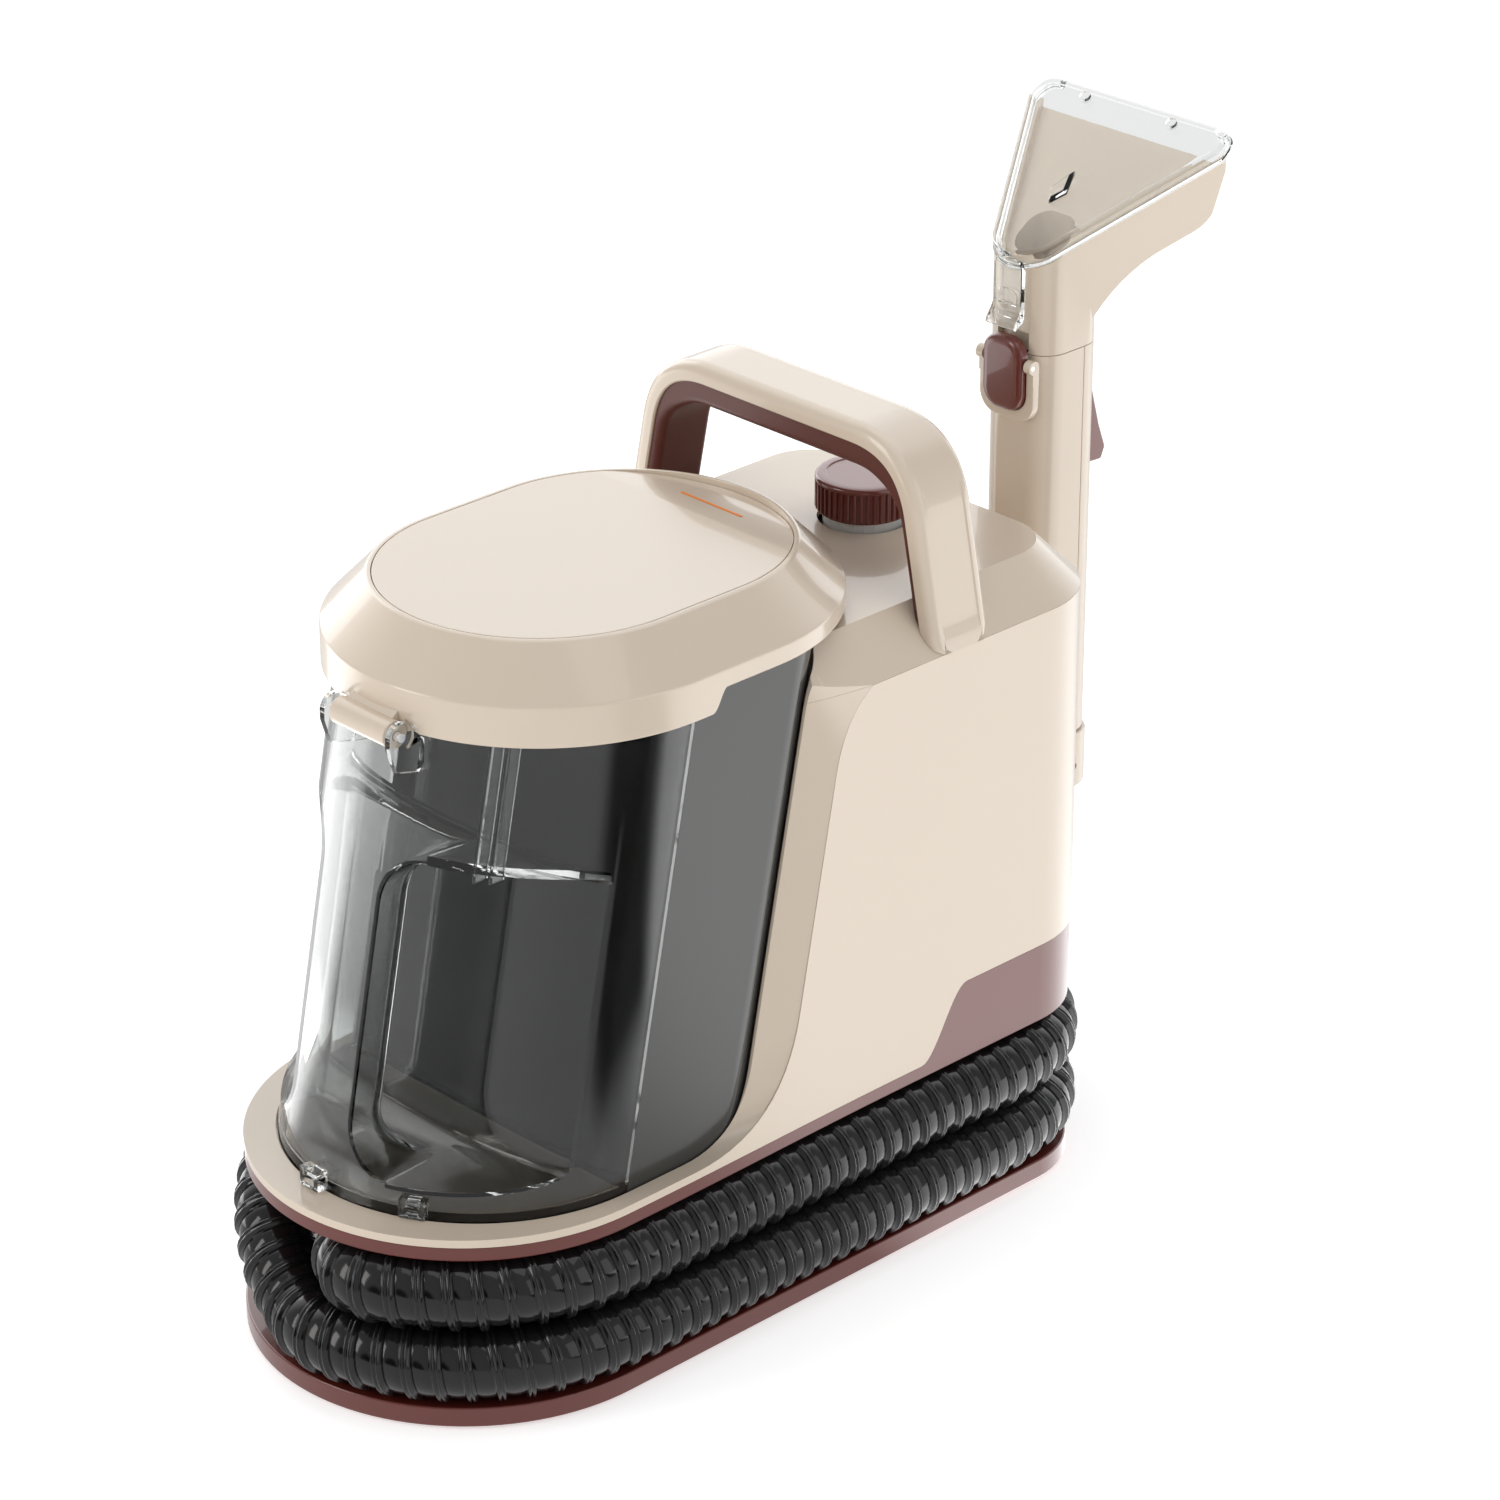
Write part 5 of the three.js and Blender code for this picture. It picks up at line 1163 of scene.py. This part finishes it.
pad_room = along_y("pad_room", [(y, rounded_rect(BUTTON_HALF + 0.5, BUTTON_HEIGHT + 0.5, (0, BUTTON_Z), 9.4))
                                for y in (220.0, 240.0)])
carve(collar, [pad_room, rod_x("pin_hole", 1.3, -30, 30, RELEASE_PIN_Y, RELEASE_PIN_Z, 24)])
ease_edges(collar, 0.4)
put_in_place(soften(collar), "wand", cream, "cream_plastic", "button_bezel")
dress(steel, "trigger_pin", "release_pin")
dress(cuff_black, "spray_valve")
smoke_clear = moulded("smoke_plastic", (0.09, 0.09, 0.09), 0.25, grain_depth=0.02, coat=0.2)
dress(smoke_clear, "wand_suction_pipe")
dress(steel, "valve_plunger")

# The trigger is a curved lever in a slot of the rear half, hung on a pin at its upper end.
TRIGGER_LINE = ((263, 338), (270, 338.5), (276, 337), (279.5, 325), (284, 309), (288.5, 297), (286, 291),
                (279, 291.5), (270, 294), (268.6, 310), (264, 322))
lever = along_x("trigger_lever", TRIGGER_LINE, -7.5, 7.5)
ease_edges(lever, 1.3, 3, 20)
carve(lever, [rod_x("pin_room", 1.9, -30, 30, TRIGGER_PIN_Y, TRIGGER_PIN_Z, 24)])
put_in_place(soften(lever, 50), "trigger", maroon, "maroon_plastic", "spray_trigger")

# ---------------------------------------------------------------- tool head
# The head is a cream wedge that widens to the brush, under a clear cover with a folded rim. The cover
# hooks over the neck with a tab and carries the suction mouth along its far edge.
HEAD_Y, HEAD_Z, HEAD_TILT = 230.5, 398.0, 31.3
HEAD_HALF, HEAD_LENGTH, APEX_RADIUS, MOUTH_HALF = 57.0, 99.0, 20.0, 47.0
tilt_cos, tilt_sin = math.cos(math.radians(HEAD_TILT)), math.sin(math.radians(HEAD_TILT))


def head_point(x, along_head, up):
    """A point given in the tilted plane of the head's cover."""
    return (x, HEAD_Y + along_head * tilt_cos - up * tilt_sin, HEAD_Z + along_head * tilt_sin + up * tilt_cos)


def head_ring(inset, up):
    """The triangular outline of the head with a round apex and two rounded far corners."""
    half, end = HEAD_HALF - inset, HEAD_LENGTH - inset
    corner = max(9.0 - inset, 2.0)
    spread = math.degrees(0.42)
    outline = arc(0, APEX_RADIUS, APEX_RADIUS - inset, 180 + spread, 360 - spread, 24)
    outline += bent((half, end - corner - 4), (half, end), (half - corner, end), 8)
    outline += bent((-half + corner, end), (-half, end), (-half, end - corner - 4), 8)
    return [head_point(x, v, up) for x, v in outline]


def head_block(name, half_width, near, far, low, high):
    """A box in the tilted plane of the head's cover."""
    outline = ((half_width, near), (half_width, far), (-half_width, far), (-half_width, near))
    return loft(name, [[head_point(x, v, up) for x, v in outline] for up in (low, high)])


side_line = [(200, 340), (200, 470), (307.6, 470), (306.2, 421)]
side_line += bent((306.0, 417.0), (304.8, 411.5), (299.0, 408.0), 6)
side_line += bent((289.0, 402.0), (270.0, 391.5), (262.0, 364.0), 8) + [(262, 340)]
wedge = loft("head_wedge", [head_ring(0, -70), head_ring(0, 0)])
carve(wedge, [along_x("side_shape", side_line, -70, 70)], "INTERSECT")
neck = loft("neck", [wand_ring(0, 358.0), wand_ring(0, 440.0)])
carve(neck, [head_block("slab_above", 90, -60, 140, 0.0, 90.0)])
carve(wedge, [neck], "UNION")
carve(wedge, [block("under_neck", (-90, 150, 250), (90, 360, 358.05))])
ease_edges(wedge, 1.6, 3, 32)
cavity = loft("cavity", [head_ring(4, -3.5), head_ring(4, 3)])
neck_bore = loft("neck_bore", [at_height(rounded_rect(13, 11, (0, WAND_Y), 9), z) for z in (350.0, 430.0)])
carve(wedge, [cavity, neck_bore, block("hook_room", (-9.5, 220, 340), (9.5, 236, 368)),
              head_block("mouth", MOUTH_HALF, 93, 105, -4.0, 1.0)])
wedge.name = wedge.data.name = "head_moulding"
put_in_place(soften(wedge, 30), "tool_head", cream, "cream_plastic", "head_body")

# The clear cover has a folded rim, two round bosses near its far edge and a pointed bump nearer the neck.
dome_levels = ((0.1, 0.3), (-0.9, 0.5), (-1.3, 1.1), (-1.3, 2.0), (-0.9, 2.6), (-0.1, 2.8), (0.1, 3.2),
               (0.1, 5.2), (0.4, 6.5), (1.2, 7.4), (2.4, 7.9), (3.4, 8.0))
dome = loft("head_cover_moulding", [head_ring(inset, up) for inset, up in dome_levels])
dome_room = loft("dome_room", [head_ring(inset, up) for inset, up in
                               ((2.4, -2.0), (2.4, 4.2), (2.9, 5.1), (4.0, 5.6))])
carve(dome, [dome_room, head_block("cover_mouth", MOUTH_HALF, 87, 105, -2.0, 4.0),
             loft("neck_clearance", [wand_ring(0.3, 300.0), wand_ring(0.3, 396.5)])])
bosses = [loft("boss", [[head_point(x, v, up) for x, v in circle(centre, 92, 2.6, 20)] for up in (7.0, 9.4)])
          for centre in (26, -26)]
diamond = [(0, 32.0), (4.6, 39.5), (0, 52.0), (-4.6, 39.5)]
bump = loft("bump", [[head_point(x * scale, 40 + (v - 40) * scale, up) for x, v in diamond]
                     for scale, up in ((1.0, 7.0), (1.0, 9.0), (0.72, 10.4))])
for extra in bosses + [bump]:
    carve(dome, [extra], "UNION")
put_in_place(soften(dome, 30), "head_window", clear_plastic, "clear_plastic", "head_cover")

# A tab with a window and a turned-out lip hangs from the cover's near end, over the neck.
tab = along_y("head_cover_tab", [(y, rounded_rect(8.5 - inset, 16.5 - inset, (0, 386.5), 5.5 - inset))
                                 for y, inset in ((230.2, 0.3), (229.8, 0.0), (227.9, 0.0), (227.5, 0.3))])
carve(tab, [along_y("tab_window", [(y, rounded_rect(5.6, 7.0, (0, 381.0), 3.0)) for y in (220.0, 229.0)])])
lip_line = [(229.8, 380.5), (227.8, 380.5), (226.2, 377.5), (223.4, 373.5), (223.0, 371.5), (224.2, 370.6),
            (226.4, 372.0), (229.0, 376.0)]
carve(tab, [along_x("tab_lip", lip_line, -8.6, 8.6)], "UNION")
ease_edges(tab, 0.5)
put_in_place(soften(tab), "head_window", clear_plastic, "clear_plastic", "head_cover")

# Bristles stand in rows on a strip under the mouth, beside the spray nozzle.
strip = block("brush_strip", (-46, 311.5, 421), (46, 313.8, 431))
ease_edges(strip, 0.5)
put_in_place(soften(strip), "tool_head", rubber, "black_rubber", "head_brush")
bristle = across("bristle", 0.7, 0, 5.0, 0, 0, 8)
bristle_spots = [(-44.5 + 2.6 * column + 1.3 * (level % 2), 313.4, 422.4 + 1.8 * level)
                 for level in range(5) for column in range(34)]
bristles = repeated("brush_bristles", bristle, bristle_spots, rubber)
put_in_place(soften(bristles), "tool_head", rubber, "black_rubber", "head_brush")
nozzle_grey = moulded("grey_plastic", (0.18, 0.18, 0.19), 0.45, grain_depth=0.1)
dress(nozzle_grey, "spray_nozzle")

# ---------------------------------------------------------------- back of the body
# Behind the body are the power button, the cable inlet, the exhaust grille and the rail that the wand
# hangs on.
power_levels = ((196.0, 12.0), (203.8, 12.0), (204.6, 11.6), (205.0, 10.8), (204.6, 8.0), (204.5, 4.0))
power = along_y("power_button_cap", [(y, circle(POWER_X, POWER_Z, radius, 48)) for y, radius in power_levels])
carve(power, [across("button_stem", 4.0, 194.2, 197.0, POWER_X, POWER_Z)], "UNION")
put_in_place(soften(power), "power_switch", maroon, "maroon_plastic", "power_button")
inlet = block("power_inlet_socket", (INLET_X - 13.7, 190, INLET_Z - 10.7),
              (INLET_X + 13.7, 202, INLET_Z + 10.7))
carve(inlet, [along_y("inlet_flange", [(y, rounded_rect(16, 13, (INLET_X, INLET_Z), 4))
                                       for y in (202.3, 204.5)]),
              block("inlet_joint", (INLET_X - 12, 201, INLET_Z - 9),
                    (INLET_X + 12, 203, INLET_Z + 9))], "UNION")
carve(inlet, [along_y("inlet_room", [(y, rounded_rect(9.5, 6.2, (INLET_X, INLET_Z), 3))
                                     for y in (193.0, 210.0)])])
ease_edges(inlet, 0.5)
put_in_place(soften(inlet), "root", cuff_black, "black_plastic", "power_inlet")
grille = along_y("exhaust_grille_frame", [(y, rounded_rect(13, 42, (GRILLE_X, GRILLE_Z), 4))
                                          for y in (202.3, 204.0)])
carve(grille, [block("grille_plug", (GRILLE_X - 11, 199, GRILLE_Z - 40),
                     (GRILLE_X + 11, 203, GRILLE_Z + 40))], "UNION")
SLOT_LOW, SLOT_PITCH, SLOT_WIDTH = 143.0, 7.5, 4.4
slot_levels = [SLOT_LOW + SLOT_PITCH * k for k in range(10)]
carve(grille, [block("grille_slot", (GRILLE_X - 9, 190, z), (GRILLE_X + 9, 210, z + SLOT_WIDTH))
               for z in slot_levels])
ease_edges(grille, 0.3)
put_in_place(soften(grille), "root", cuff_black, "black_plastic", "exhaust_grille")
dock = block("wand_dock_rail", (-14, 202.3, 178), (14, 229, 236))
ease_edges(dock, 1.5, 3)
carve(dock, [block("rail_neck", (-5, 227, 186), (5, 234.6, 225))], "UNION")
carve(dock, [block("rail_head", (-9, 234.2, 186), (9, 236.8, 225))], "UNION")
carve(dock, [across("screw_room", 2.4, 200, 214, 0, z) for z in DOCK_SCREWS])
put_in_place(soften(dock), "root", cream, "cream_plastic", "wand_dock")
dress(steel, "dock_screw_lower", "dock_screw_upper")

# ---------------------------------------------------------------- inner works
# Inside the body are the suction motor with its fan, the water pump with its two pipes, and the
# control board. The shells hide them, so they keep their plain forms.
motor_metal = moulded("motor_metal", (0.36, 0.36, 0.37), 0.45, grain_depth=0.15, metallic=1.0)
board_green = moulded("board_green", (0.03, 0.15, 0.06), 0.5, grain_depth=0.1)
dress(motor_metal, "suction_motor")
dress(steel, "motor_bearing_lower", "motor_bearing_upper", "motor_shaft", "motor_fan")
dress(cuff_black, "motor_mount", "fan_housing", "water_pump", "hose_port")
dress(white, "feed_pipe", "pressure_pipe")
dress(board_green, "control_board")
